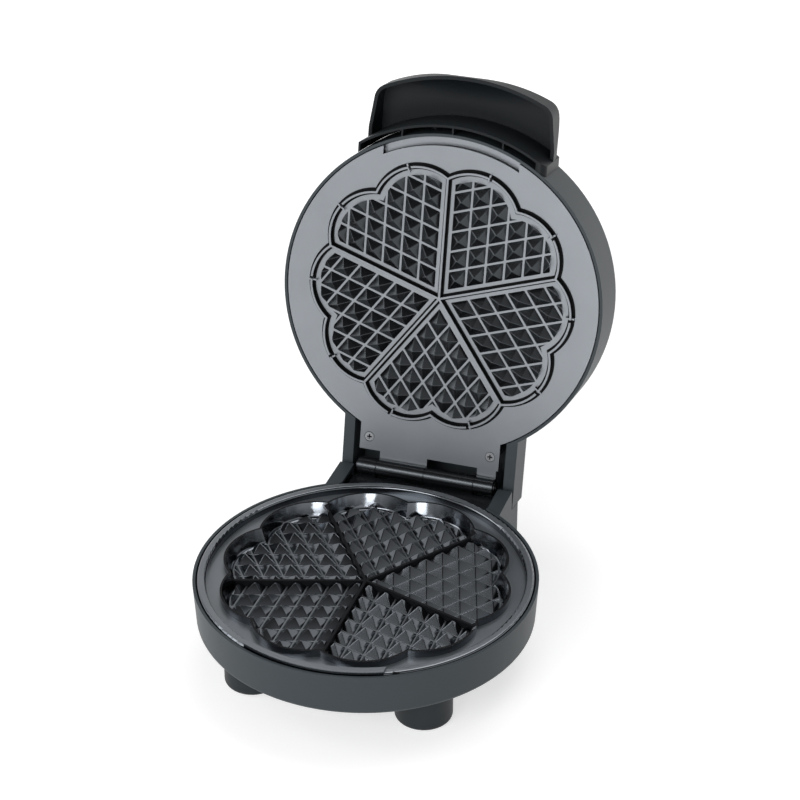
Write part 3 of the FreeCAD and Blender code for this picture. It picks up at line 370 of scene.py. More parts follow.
# Meshes

def new_piece(name: str, work: BMesh) -> Object:
    """Put a worked form into the scene under its name.

    Args:
        name: The piece's name.
        work: Its form, which is freed.

    Returns:
        The new object.
    """
    mesh = bpy.data.meshes.new(name)
    work.to_mesh(mesh)
    work.free()
    piece = bpy.data.objects.new(name, mesh)
    bpy.context.scene.collection.objects.link(piece)
    return piece


def corner_loop(work: BMesh, plan: list[Vector], height: float) -> list[BMVert]:
    """Add the corners of a flat outline at a height and return them."""
    return [work.verts.new((point.x, point.y, height)) for point in plan]


def band(work: BMesh, here: list[BMVert], there: list[BMVert]) -> None:
    """Close the space between two loops with as many corners.

    Args:
        work: The form.
        here: One loop.
        there: The other loop.
    """
    for step in range(len(here)):
        after = (step + 1) % len(here)
        work.faces.new((here[step], here[after], there[after], there[step]))


def settle(piece: Object) -> None:
    """Turn what the modifiers make into the piece's own plain mesh.

    Args:
        piece: The piece, which has no modifiers afterwards.
    """
    bpy.context.view_layer.update()
    graph = bpy.context.evaluated_depsgraph_get()
    mesh = bpy.data.meshes.new_from_object(piece.evaluated_get(graph))
    piece.modifiers.clear()
    old = piece.data
    piece.data = mesh
    bpy.data.meshes.remove(old)


def modify(piece: Object, kind: str, **settings: Any) -> None:
    """Let one modifier work on a piece and keep what it makes.

    Args:
        piece: The piece.
        kind: The modifier's type.
        settings: Properties of the modifier.
    """
    modifier = piece.modifiers.new(kind.lower(), kind)
    for name, value in settings.items():
        setattr(modifier, name, value)
    settle(piece)


def soften(piece: Object, angle: float) -> None:
    """Shade a piece smooth, led by its large faces.

    Args:
        piece: The piece.
        angle: Edges above this angle stay sharp, in degrees.
    """
    piece.data.shade_smooth()
    piece.data.set_sharp_from_angle(angle=radians(angle))
    modify(piece, "WEIGHTED_NORMAL", keep_sharp=True)


@dataclass(frozen=True)
class Layout:
    """Where the drawing's round base and shut lid lie in the row frame.

    Attributes:
        hinge: The hinge axis in the row frame, in metres.
        open_deg: How far the lid is open at rest.
        hinge_mm: The same axis, (y, z), in the drawing of the shut appliance.
    """

    hinge: Vector
    open_deg: float
    hinge_mm: tuple[float, float] = (115.7, 51.8)

    def place(self, body: Body) -> Matrix:
        """Return the matrix from drawing millimetres to a body at rest.

        Args:
            body: The base, or the lid, which is open at rest.

        Returns:
            The matrix.
        """
        shift = self.hinge - Vector((0.0, *self.hinge_mm)) * MM
        drawn = Matrix.Translation(shift) @ Matrix.Scale(MM, 4)
        if body is Body.BASE:
            return drawn
        turn = Matrix.Rotation(radians(-self.open_deg), 4, "X")
        about = Matrix.Translation(self.hinge)
        return about @ turn @ about.inverted() @ drawn


@dataclass
class DressedNode:
    """A CAD node's form with merged corners, rounded edges and smooth shading.

    Attributes:
        layout: Where base and lid are.
        node: The node that it stands for.
        body: The body that it rides on.
        slot: The record's material slot; not used.
        finishes: One finish, or several that `pick` chooses from.
        edge_mm: The radius of the rounded edges.
        crease_deg: Edges sharper than this are rounded.
        shade_deg: Edges sharper than this stay sharp in the shading.
        merge_mm: Corners nearer than this are one.
        sliver_mm: Edges shorter than this are taken out.
        flat_deg: Faces that meet at less than this are joined.
    """

    layout: Layout
    node: str
    body: Body
    slot: Slot
    finishes: tuple[Finish, ...]
    edge_mm: float = 0.4
    crease_deg: float = 32.0
    shade_deg: float = 50.0
    merge_mm: float = 0.002
    sliver_mm: float = 0.004
    flat_deg: float = 0.4

    @cached_property
    def place(self) -> Matrix:
        """Return the matrix from the drawing to the node."""
        return self.layout.place(self.body)

    @cached_property
    def back(self) -> Matrix:
        """Return the matrix from the node to the drawing."""
        return self.place.inverted()

    def reshape(self, work: BMesh) -> None:
        """Change the form before its flat faces are joined; a plain node keeps it."""

    def cutter(self) -> Object | None:
        """Return the closed tool whose form is cut out; a plain node has none."""
        return None

    def pick(self, point: Vector, normal: Vector) -> int:
        """Return the number of a face's finish, from its middle and normal."""
        return 0

    def form(self, source: Object) -> BMesh:
        """Return a clean copy of the node's form.

        Args:
            source: The node's object.

        Returns:
            A form with merged corners and joined flat faces.
        """
        work = bmesh.new()
        work.from_mesh(source.data)
        bmesh.ops.remove_doubles(work, verts=work.verts, dist=self.merge_mm * MM)
        self.reshape(work)
        bmesh.ops.dissolve_degenerate(work, edges=work.edges, dist=self.sliver_mm * MM)
        bmesh.ops.dissolve_limit(work, angle_limit=radians(self.flat_deg),
                                 verts=work.verts, edges=work.edges)
        return work

    def build(self, nodes: dict[str, Object]) -> Object:
        """Make the piece in place of its node.

        Args:
            nodes: The CAD nodes by name.

        Returns:
            The dressed piece.
        """
        piece = new_piece(self.node + "_dressed", self.form(nodes[self.node]))
        tool = self.cutter()
        if tool is not None:
            modify(piece, "BOOLEAN", operation="DIFFERENCE", solver="EXACT", object=tool)
            bpy.data.objects.remove(tool)
        modify(piece, "BEVEL", width=self.edge_mm * MM, segments=2, limit_method="ANGLE",
               angle_limit=radians(self.crease_deg), use_clamp_overlap=True)
        for finish in self.finishes:
            piece.data.materials.append(finish.material())
        for face in piece.data.polygons:
            face.material_index = self.pick(face.center, face.normal)
        soften(piece, self.shade_deg)
        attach(piece, self.body.value)
        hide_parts(self.node)
        return piece


# Baking plates

@dataclass(frozen=True)
class Hearts:
    """The layout of the five hearts, in millimetres and degrees.

    Attributes:
        count: The number of hearts.
        lobe_centre: The distance of a lobe's centre from the middle.
        lobe_radius: The radius of a lobe's outline.
        pitch: The step from one pyramid to the next.
        line: The flat line between two pyramids.
        height: The height of a pyramid.
        start: The distance of the first pyramid from the middle of a ridge.
        inset: The flat margin inside the outline.
        ridge: The half width kept free of pyramids along each ridge.
        clear: How near to a ridge's middle a pyramid may come before it is cut.
        spare: How far beyond the border the casting's own pyramids may reach.
    """

    count: int = 5
    lobe_centre: float = 53.2
    lobe_radius: float = 32.8
    pitch: float = 12.3
    line: float = 1.3
    height: float = 4.2
    start: float = 4.2
    inset: float = 8.4
    ridge: float = 2.4
    clear: float = 1.4
    spare: float = 2.5

    @property
    def sector(self) -> float:
        """Return the angle of one heart."""
        return 360.0 / self.count

    @property
    def slant(self) -> float:
        """Return the sine of the angle between a heart's two sides."""
        return sin(radians(self.sector))

    @property
    def size(self) -> float:
        """Return the side of a pyramid's foot, along a heart's side."""
        return self.pitch - self.line / self.slant

    @property
    def reach(self) -> float:
        """Return the greatest radius of the outline."""
        return self.lobe_centre + self.lobe_radius

    def side(self, number: int) -> Vector:
        """Return the direction of a heart's first or second side."""
        return toward(radians(-90.0 + self.sector * number))

    def across(self, number: int) -> Vector:
        """Return the direction from a side into the first heart, square to that side."""
        return toward(radians(self.sector * number - 180.0 * number))

    def lobe(self, number: int) -> Vector:
        """Return the direction of a lobe of the first heart."""
        return toward(radians(-90.0 + self.sector * (0.25 + 0.5 * number)))

    def border(self, steps: int) -> list[Vector]:
        """Return the outline of the first heart's pyramids: two straight sides and two arcs.

        Args:
            steps: The number of steps of an arc.

        Returns:
            The corners, counterclockwise.
        """
        radius = self.lobe_radius - self.inset
        middle = (self.side(0) + self.side(1)).normalized()
        corners = [(self.side(0) + self.side(1)) * (self.clear / self.slant)]
        for number in (0, 1):
            side, across = self.side(number), self.across(number)
            centre = self.lobe(number) * self.lobe_centre
            off = centre.dot(across) - self.clear
            outer = side * (centre.dot(side) + sqrt(radius ** 2 - off ** 2))
            outer += across * self.clear
            off = centre.cross(middle).length
            cusp = middle * (centre.dot(middle) + sqrt(radius ** 2 - off ** 2))
            ends = [point - centre for point in ((outer, cusp) if number == 0 else (cusp, outer))]
            first = atan2(ends[0].y, ends[0].x)
            sweep = (atan2(ends[1].y, ends[1].x) - first) % (2.0 * pi)
            for step in range(number, steps + 1):
                corners.append(centre + toward(first + sweep * step / steps) * radius)
        return corners

    def outline(self, inset: float, steps: int) -> list[Vector]:
        """Return the scalloped outline of the whole field, drawn in by an inset.

        Args:
            inset: How far the outline is drawn in.
            steps: The number of steps of a lobe.

        Returns:
            The corners, counterclockwise.
        """
        radius = self.lobe_radius - inset
        half = pi / (2 * self.count)
        corners = []
        for lobe in range(2 * self.count):
            for step in range(steps):
                off = half * (2.0 * step / steps - 1.0)
                reach = self.lobe_centre * cos(off)
                reach += sqrt(radius ** 2 - (self.lobe_centre * sin(off)) ** 2)
                corners.append(toward(half * (2 * lobe + 1) + off - pi / 2.0) * reach)
        return corners

    def turned(self, point: Vector) -> float:
        """Return how far a point is turned from the first side of its heart, in degrees."""
        return (degrees(atan2(point.y, point.x)) + 90.0) % self.sector

    def beside(self, point: Vector) -> float:
        """Return how far a point is from the middle of the nearest ridge."""
        angle = self.turned(point)
        return hypot(point.x, point.y) * sin(radians(min(angle, self.sector - angle)))

    def off_crest(self, point: Vector) -> float:
        """Return how far a point is beside the crest of its lobe."""
        half = self.sector / 2.0
        return hypot(point.x, point.y) * sin(radians(self.turned(point) % half - half / 2.0))

    def holds(self, point: Vector) -> bool:
        """Tell whether a point lies where the pyramids stand.

        Args:
            point: The point, in the drawing.

        Returns:
            True between the ridges and inside the border.
        """
        if self.beside(point) < self.ridge:
            return False
        angle, radius = self.turned(point), hypot(point.x, point.y)
        lobe = self.sector * (0.25 if angle < self.sector / 2.0 else 0.75)
        centre = toward(radians(lobe)) * self.lobe_centre
        away = (toward(radians(angle)) * radius - centre).length
        return radius < self.lobe_centre or away < self.lobe_radius - self.inset + self.spare


@dataclass
class PyramidField:
    """The pyramids of all the hearts on one plate, repeated by a node tree.

    Attributes:
        plate: The plate that they stand on.
        round_mm: The width of the rounded ridges.
        sink: How far a pyramid's foot goes into the floor.
        arc_steps: The number of steps of each arc that cuts the pyramids.
        shade_deg: Edges sharper than this stay sharp in the shading.
        merge_mm: Corners nearer than this are one.
        sliver_mm: Edges shorter than this are taken out.
    """

    plate: CastPlate
    round_mm: float = 0.42
    sink: float = 0.5
    arc_steps: int = 14
    shade_deg: float = 40.0
    merge_mm: float = 0.001
    sliver_mm: float = 0.002

    def pyramid(self) -> Object:
        """Return one closed pyramid on its slanted foot, with rounded ridges.

        Returns:
            The tool that the tree repeats.
        """
        work = bmesh.new()
        hearts = self.plate.hearts
        half = hearts.size / 2.0
        steps = ((-half, -half), (half, -half), (half, half), (-half, half))
        plan = [hearts.side(0) * a + hearts.side(1) * b for a, b in steps]
        foot, rim = corner_loop(work, plan, -self.sink), corner_loop(work, plan, 0.0)
        apex = work.verts.new((0.0, 0.0, hearts.height))
        work.faces.new(foot[::-1])
        band(work, foot, rim)
        for here, there in zip(rim, rim[1:] + rim[:1]):
            work.faces.new((here, there, apex))
        bmesh.ops.bevel(work, geom=list(apex.link_edges), offset=self.round_mm, segments=2,
                        profile=0.5, affect="EDGES")
        bmesh.ops.recalc_face_normals(work, faces=work.faces)
        return new_piece(self.plate.pyramids + "_cell", work)

    def die(self) -> Object:
        """Return the upright block with one heart's outline that the pyramids are cut by.

        Returns:
            The tool, which reaches well above and below the pyramids.
        """
        work = bmesh.new()
        plan = self.plate.hearts.border(self.arc_steps)
        foot = corner_loop(work, plan, -2.0 * self.sink)
        top = corner_loop(work, plan, 2.0 * self.plate.hearts.height)
        work.faces.new(foot[::-1])
        work.faces.new(top)
        band(work, foot, top)
        return new_piece(self.plate.pyramids + "_die", work)

    def tree(self) -> NodeTree:
        """Return the node tree that sets pyramids in a slanted grid and cuts them by the heart.

        Returns:
            The tree, with named inputs for its tools and sizes.
        """
        tree = bpy.data.node_groups.new("heart_field", "GeometryNodeTree")
        add = partial(add_node, tree)
        for name, kind in (("Cell", "Object"), ("Die", "Object"), ("Across", "Int"),
                           ("Pitch", "Float"), ("First", "Float"), ("Reach", "Float"),
                           ("Hearts", "Int"), ("Coat", "Material")):
            tree.interface.new_socket(name, in_out="INPUT", socket_type="NodeSocket" + kind)
        tree.interface.new_socket("Geometry", in_out="OUTPUT", socket_type="NodeSocketGeometry")
        given = add("NodeGroupInput").outputs
        across = given["Across"]
        # A grid of steps, slanted along the heart's two sides.
        spaces = add("ShaderNodeMath", {0: across, 1: 1.0}, operation="SUBTRACT")
        span = add("ShaderNodeMath", {0: spaces, 1: given["Pitch"]}, operation="MULTIPLY")
        grid = add("GeometryNodeMeshGrid", {
            "Size X": span, "Size Y": span, "Vertices X": across, "Vertices Y": across})
        here = add("GeometryNodeInputPosition")
        middle = add("ShaderNodeMath", {0: span, 1: 0.5, 2: given["First"]},
                     operation="MULTIPLY_ADD")
        offset = add("ShaderNodeCombineXYZ", {"X": middle, "Y": middle})
        moved = add("ShaderNodeVectorMath", {0: here, 1: offset}, operation="ADD")
        steps = add("ShaderNodeSeparateXYZ", {0: moved})
        legs = [add("ShaderNodeVectorMath", {
            0: self.plate.hearts.side(number), "Scale": steps.outputs[number]}, operation="SCALE")
            for number in (0, 1)]
        slanted = add("ShaderNodeVectorMath", {0: legs[0], 1: legs[1]}, operation="ADD")
        points = add("GeometryNodeSetPosition", {"Geometry": grid, "Position": slanted})
        # Points within reach get a pyramid, and the die cuts them all.
        away = add("ShaderNodeVectorMath", {0: here}, operation="LENGTH")
        far = add("ShaderNodeMath", {0: away.outputs["Value"], 1: given["Reach"]},
                  operation="GREATER_THAN")
        kept = add("GeometryNodeDeleteGeometry", {"Geometry": points, "Selection": far},
                   domain="POINT")
        cell = add("GeometryNodeObjectInfo", {"Object": given["Cell"]})
        sown = add("GeometryNodeInstanceOnPoints", {
            "Points": kept, "Instance": cell.outputs["Geometry"]})
        field = add("GeometryNodeRealizeInstances", {"Geometry": sown})
        die = add("GeometryNodeObjectInfo", {"Object": given["Die"]})
        heart = add("GeometryNodeMeshBoolean", {"Mesh 2": field}, operation="INTERSECT")
        fill(heart, {"Mesh 2": die.outputs["Geometry"]})
        # The heart is repeated round the middle.
        hubs = add("GeometryNodeMeshLine", {"Count": given["Hearts"], "Offset": (0.0, 0.0, 0.0)})
        number = add("GeometryNodeInputIndex")
        angle = add("ShaderNodeMath", {0: number, 1: radians(self.plate.hearts.sector)},
                    operation="MULTIPLY")
        spin = add("ShaderNodeCombineXYZ", {"Z": angle})
        ring = add("GeometryNodeInstanceOnPoints", {
            "Points": hubs, "Instance": heart, "Rotation": spin})
        whole = add("GeometryNodeRealizeInstances", {"Geometry": ring})
        coated = add("GeometryNodeSetMaterial", {"Geometry": whole, "Material": given["Coat"]})
        add("NodeGroupOutput", {"Geometry": coated})
        return tree

    def grow(self, piece: Object) -> None:
        """Let the node tree make the field, in drawing millimetres on a floor at zero.

        Args:
            piece: The piece that gets the field as its plain mesh.
        """
        hearts = self.plate.hearts
        cell, die = self.pyramid(), self.die()
        field = piece.modifiers.new("field", "NODES")
        field.node_group = self.tree()
        values = {
            "Cell": cell, "Die": die, "Hearts": hearts.count,
            "Pitch": hearts.pitch, "Reach": hearts.reach,
            "Across": int((hearts.reach - hearts.start) / hearts.pitch) + 1,
            "First": hearts.start / hearts.slant + hearts.size / 2.0,
            # The pyramids take the plate's slope coat, whose tone is painted light and shade.
            "Coat": self.plate.finishes[Coat.CAST].material(),
        }
        for socket in field.node_group.interface.items_tree:
            if socket.in_out == "INPUT":
                field[socket.identifier] = values[socket.name]
        settle(piece)
        for tool in (cell, die):
            bpy.data.objects.remove(tool)

    def build(self) -> Object:
        """Grow the field, set it on its plate and let it ride there.

        Returns:
            The finished piece.
        """
        plate = self.plate
        piece = new_piece(plate.pyramids, bmesh.new())
        self.grow(piece)
        flip = Matrix.Diagonal((1.0, 1.0, plate.up, 1.0))
        piece.data.transform(plate.place @ Matrix.Translation((0.0, 0.0, plate.floor)) @ flip)
        work = bmesh.new()
        work.from_mesh(piece.data)
        bmesh.ops.remove_doubles(work, verts=work.verts, dist=self.merge_mm * MM)
        bmesh.ops.dissolve_degenerate(work, edges=work.edges, dist=self.sliver_mm * MM)
        bmesh.ops.recalc_face_normals(work, faces=work.faces)
        work.to_mesh(piece.data)
        work.free()
        soften(piece, self.shade_deg)
        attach(piece, plate.body.value)
        return piece


@dataclass(kw_only=True)
class CastPlate(DressedNode):
    """A cast plate and its pyramids. Sizes and heights are those of the drawing, in millimetres.

    Attributes:
        pyramids: The name of the pyramids' piece.
        hearts: The layout of its hearts.
        floor: The height of the floor that the pyramids stand on.
        up: One for a plate that faces up, minus one for one that faces down.
        hinge_clear: Faces nearer to the hinge axis than this belong to the knuckles.
        plate_radius: The radius of the round plate; its tab lies beyond it.
        floor_play: Faces nearer to the floor than this belong to it.
        field_play: How far beyond the outline the field's own walls may lie.
        level_min: Faces at least as level as this get the lighter coat, painted light.
    """

    slot: Slot = Slot.PLATE
    edge_mm: float = 0.28
    pyramids: str
    hearts: Hearts
    floor: float
    up: float
    hinge_clear: float = 6.5
    plate_radius: float = 97.0
    floor_play: float = 0.02
    field_play: float = 1.0
    level_min: float = 0.9

    def reshape(self, work: BMesh) -> None:
        """Take out the casting's own pyramids and close the holes.

        Args:
            work: The casting's form.
        """
        gone = []
        for face in work.faces:
            local = self.back @ face.calc_center_median()
            proud = (local.z - self.floor) * self.up > self.floor_play
            if proud and self.hearts.holds(local):
                gone.append(face)
        bmesh.ops.delete(work, geom=gone, context="FACES")
        rim = [edge for edge in work.edges if edge.is_boundary]
        bmesh.ops.holes_fill(work, edges=rim, sides=0)
        rest = [edge for edge in work.edges if edge.is_boundary]
        bmesh.ops.triangle_fill(work, use_beauty=True, edges=rest)
        bmesh.ops.recalc_face_normals(work, faces=work.faces)

    def within(self, local: Vector) -> bool:
        """Tell whether a point of the drawing lies in the hearts' field."""
        return hypot(local.x, local.y) < self.hearts.reach + self.field_play

    def coat(self, local: Vector, level: float) -> Coat:
        """Tell how a face is finished.

        Args:
            local: The face's middle, in the drawing.
            level: How level the face lies, from one for level to zero for upright.

        Returns:
            The finish's place in the casting's list.
        """
        hinge_y, hinge_z = self.layout.hinge_mm
        if hypot(local.y - hinge_y, local.z - hinge_z) < self.hinge_clear:
            return Coat.KNUCKLE
        # Level faces get the lighter coat as painted light, slopes the darker one as painted
        # shade.
        return Coat.LEVEL if level > self.level_min else Coat.CAST

    def pick(self, point: Vector, normal: Vector) -> int:
        """Return the number of a face's finish, from its place and slope in the drawing."""
        slope = (self.back.to_3x3() @ normal).normalized()
        return self.coat(self.back @ point, slope.z * self.up)


@dataclass(kw_only=True)
class LowerPlate(CastPlate):
    """The deep plate in the base, with large pyramids close to the ridges."""

    node: str = "lower_plate"
    body: Body = Body.BASE
    finishes: tuple[Finish, ...] = (COAT_LEVEL_LIT, COAT_DEEP_SLOPE_LIT, COAT_SHADE, COAT_SLOPE_SHADED)
    pyramids: str = "lower_pyramids"
    hearts: Hearts = Hearts(pitch=12.0, line=0.8, height=5.0, start=-1.5, inset=5.0, ridge=1.1,
                            spare=0.4)
    floor: float = 44.2
    up: float = 1.0

    def coat(self, local: Vector, level: float) -> Coat:
        """Tell how a face is finished; the tab and the ridges get painted shade.

        Args:
            local: The face's middle, in the drawing.
            level: How level the face lies.

        Returns:
            The finish's place in the casting's list.
        """
        coat = super().coat(local, level)
        # The tab between rim and knuckles takes the knuckles' darker coat: painted shade.
        if coat is Coat.KNUCKLE or local.y > self.plate_radius:
            return Coat.KNUCKLE
        # Faces along the ridges, their level tops too, get painted shade.
        if self.within(local) and self.hearts.beside(local) < self.hearts.ridge:
            return Coat.SHADE
        return coat


@dataclass(kw_only=True)
class UpperPlate(CastPlate):
    """The plate in the lid, with a vented overflow ring and a gutter round it.

    Attributes:
        vent_radius: Where the vents in the overflow ring begin.
        vent_rib: The half width of the rib beside a vent.
        vent_gap: The width of a vent.
        ring_top: The height of the overflow ring's edge.
        ring_step: The share that stays of what the casting has below that height.
        gutter: The insets between which the gutter runs.
        gutter_depth: The depth of the gutter.
        gutter_steps: The number of steps of a lobe of the gutter.
        face_play: Faces nearer to the plate's face than this belong to it.
        steep_max: Faces less level than this are steep and get painted shade.
    """

    node: str = "upper_plate"
    body: Body = Body.LID
    finishes: tuple[Finish, ...] = (COAT_LEVEL_LIT, COAT_SLOPE_SHADED, COAT_SHADE, COAT_SLOPE_SHADED)
    pyramids: str = "upper_pyramids"
    hearts: Hearts = Hearts()
    floor: float = 54.2
    up: float = -1.0
    vent_radius: float = 82.0
    vent_rib: float = 0.6
    vent_gap: float = 1.5
    ring_top: float = 50.9
    ring_step: float = 0.06
    gutter: tuple[float, float] = (0.85, 2.7)
    gutter_depth: float = 1.4
    gutter_steps: int = 24
    face_play: float = 0.3
    steep_max: float = 0.6

    def reshape(self, work: BMesh) -> None:
        """Draw the ring back to its edge's height, then take out the casting's own pyramids.

        Args:
            work: The casting's form.
        """
        for vert in work.verts:
            local = self.back @ vert.co
            low = self.ring_top - local.z
            if low > 0.0 and hypot(local.x, local.y) < self.plate_radius:
                local.z = self.ring_top - self.ring_step * low
            vert.co = self.place @ local
        super().reshape(work)

    def cutter(self) -> Object | None:
        """Return the scalloped band that the gutter round the overflow ring is cut by.

        Returns:
            The tool.
        """
        work = bmesh.new()
        outer, inner = (self.hearts.outline(inset, self.gutter_steps) for inset in self.gutter)
        low, high = self.floor - self.face_play, self.floor + self.gutter_depth
        loops = [corner_loop(work, plan, height) for plan, height in (
            (outer, low), (inner, low), (inner, high), (outer, high))]
        for here, there in zip(loops, loops[1:] + loops[:1]):
            band(work, here, there)
        bmesh.ops.recalc_face_normals(work, faces=work.faces)
        tool = new_piece("gutter_tool", work)
        tool.data.transform(self.place)
        return tool

    def coat(self, local: Vector, level: float) -> Coat:
        """Tell how a face is finished; steep and sunken faces and the vents' gaps get painted
        shade, the vents' ribs painted light.

        Args:
            local: The face's middle, in the drawing.
            level: How level the face lies.

        Returns:
            The finish's place in the casting's list.
        """
        coat = super().coat(local, level)
        radius = hypot(local.x, local.y)
        if coat is Coat.KNUCKLE or radius >= self.plate_radius:
            return coat
        off = self.hearts.off_crest(local)
        vent = self.within(local) and radius > self.vent_radius
        sunken = self.within(local) and local.z > self.floor + self.face_play
        # A vent's rib gets the lighter coat on its walls too: painted light.
        if vent and not sunken and abs(off) < self.vent_rib:
            return Coat.LEVEL
        # Steep faces, the sunken gutter and a vent's gap get painted shade.
        gap = vent and self.vent_rib < off < self.vent_rib + self.vent_gap
        return Coat.SHADE if abs(level) < self.steep_max or sunken or gap else coat


@dataclass(kw_only=True)
class TabScrews(DressedNode):
    """The two cross-head screws that hold the upper plate's tab, in millimetres.

    Attributes:
        off_centre: The distance of a screw from the middle.
        behind: The distance of the screws behind the plate's middle.
        face: The height of the heads' faces in the shut drawing.
        cross: The half length of the cross.
        sunk: Faces deeper than this belong to the cross.
    """

    node: str = "upper_plate_screws"
    body: Body = Body.LID
    slot: Slot = Slot.SCREW
    finishes: tuple[Finish, ...] = (STEEL, COAT_SHADE)
    edge_mm: float = 0.12
    off_centre: float = 39.5
    behind: float = 97.2
    face: float = 54.2
    cross: float = 1.95
    sunk: float = 0.05

    def pick(self, point: Vector, normal: Vector) -> int:
        """Return the number of a face's finish; the cross is black, painted shade in its recess.

        Args:
            point: The face's middle.
            normal: Its normal.

        Returns:
            One for a face of the cross, and zero for the rest.
        """
        local = self.back @ point
        away = hypot(abs(local.x) - self.off_centre, local.y - self.behind)
        # The faces of the cross's recess get painted shade.
        return int(local.z > self.face + self.sunk and away < self.cross)


# Housings and inner parts

@dataclass
class Housings:
    """The moulded pieces: base, lid, handle, feet, pads and gland.

    Attributes:
        layout: Where base and lid are.
        shell_edge: The radius of the edges of the housings and the gland, mm.
        small_edge: The radius of the edges of the handle and the feet, mm.
        pad_edge: The radius of the pads' edges, mm.
    """

    layout: Layout
    shell_edge: float = 0.5
    small_edge: float = 0.4
    pad_edge: float = 0.8

    def dressed(self) -> list[DressedNode]:
        """Return the dressed form of each moulded node."""
        rows = (
            ("base_housing", Body.BASE, Slot.HOUSING, HOUSING, self.shell_edge),
            ("lid_housing", Body.LID, Slot.HOUSING, HOUSING, self.shell_edge),
            ("handle", Body.LID, Slot.HOUSING, GRIP, self.small_edge),
            ("front_foot_right", Body.BASE, Slot.FOOT, FOOT, self.small_edge),
            ("front_foot_left", Body.BASE, Slot.FOOT, FOOT, self.small_edge),
            ("rear_pad_right", Body.BASE, Slot.RUBBER, RUBBER, self.pad_edge),
            ("rear_pad_left", Body.BASE, Slot.RUBBER, RUBBER, self.pad_edge),
            ("cord_gland", Body.BASE, Slot.RUBBER, RUBBER, self.shell_edge),
        )
        return [DressedNode(self.layout, node, body, slot, (finish,), edge)
                for node, body, slot, finish, edge in rows]


@dataclass
class InnerParts:
    """The nodes that keep their CAD form and only get a finish."""

    def finishes(self) -> dict[str, Finish]:
        """Return the finish of each such node by its name."""
        return {
            "lower_heating_element": SHEATH, "upper_heating_element": SHEATH,
            "lower_reflector": SHEET, "upper_reflector": SHEET,
            "lower_reflector_screw": STEEL, "upper_reflector_screw": STEEL,
            "lower_plate_screws": STEEL, "foot_screws": STEEL, "handle_screws": STEEL,
            "hinge_pin": BLACK_STEEL, "hinge_clips": BLACK_STEEL,
            "thermostat": CERAMIC, "thermal_fuse": CERAMIC, "terminal_block": CERAMIC,
            "power_lens": RED_LENS, "ready_lens": GREEN_LENS, "signal_lamps": LAMP_GLASS,
        }

    def dress(self, nodes: dict[str, Object]) -> None:
        """Give each node its finish.

        Args:
            nodes: The CAD nodes by name.
        """
        for name, finish in self.finishes().items():
            piece = nodes[name]
            piece.data.materials.clear()
            piece.data.materials.append(finish.material())
            LOG.info("finished %s", name)


# Studio

@dataclass(frozen=True)
class SoftBox:
    """A soft lamp that faces the object.

    Attributes:
        name: The lamp's name.
        place: Its place, in metres.
        size: Its width and height.
        watts: Its power.
    """

    name: str
    place: tuple[float, float, float]
    size: tuple[float, float]
    watts: float

    def hang(self, target: Vector) -> None:
        """Hang the lamp so that it faces a point.

        Args:
            target: The point, in metres.
        """
        light = bpy.data.lights.new(self.name, "AREA")
        light.shape = "RECTANGLE"
        light.size, light.size_y = self.size
        light.energy = self.watts
        lamp = bpy.data.objects.new(self.name, light)
        bpy.context.scene.collection.objects.link(lamp)
        lamp.location = self.place
        lamp.rotation_euler = (Vector(self.place) - target).to_track_quat("Z", "Y").to_euler()


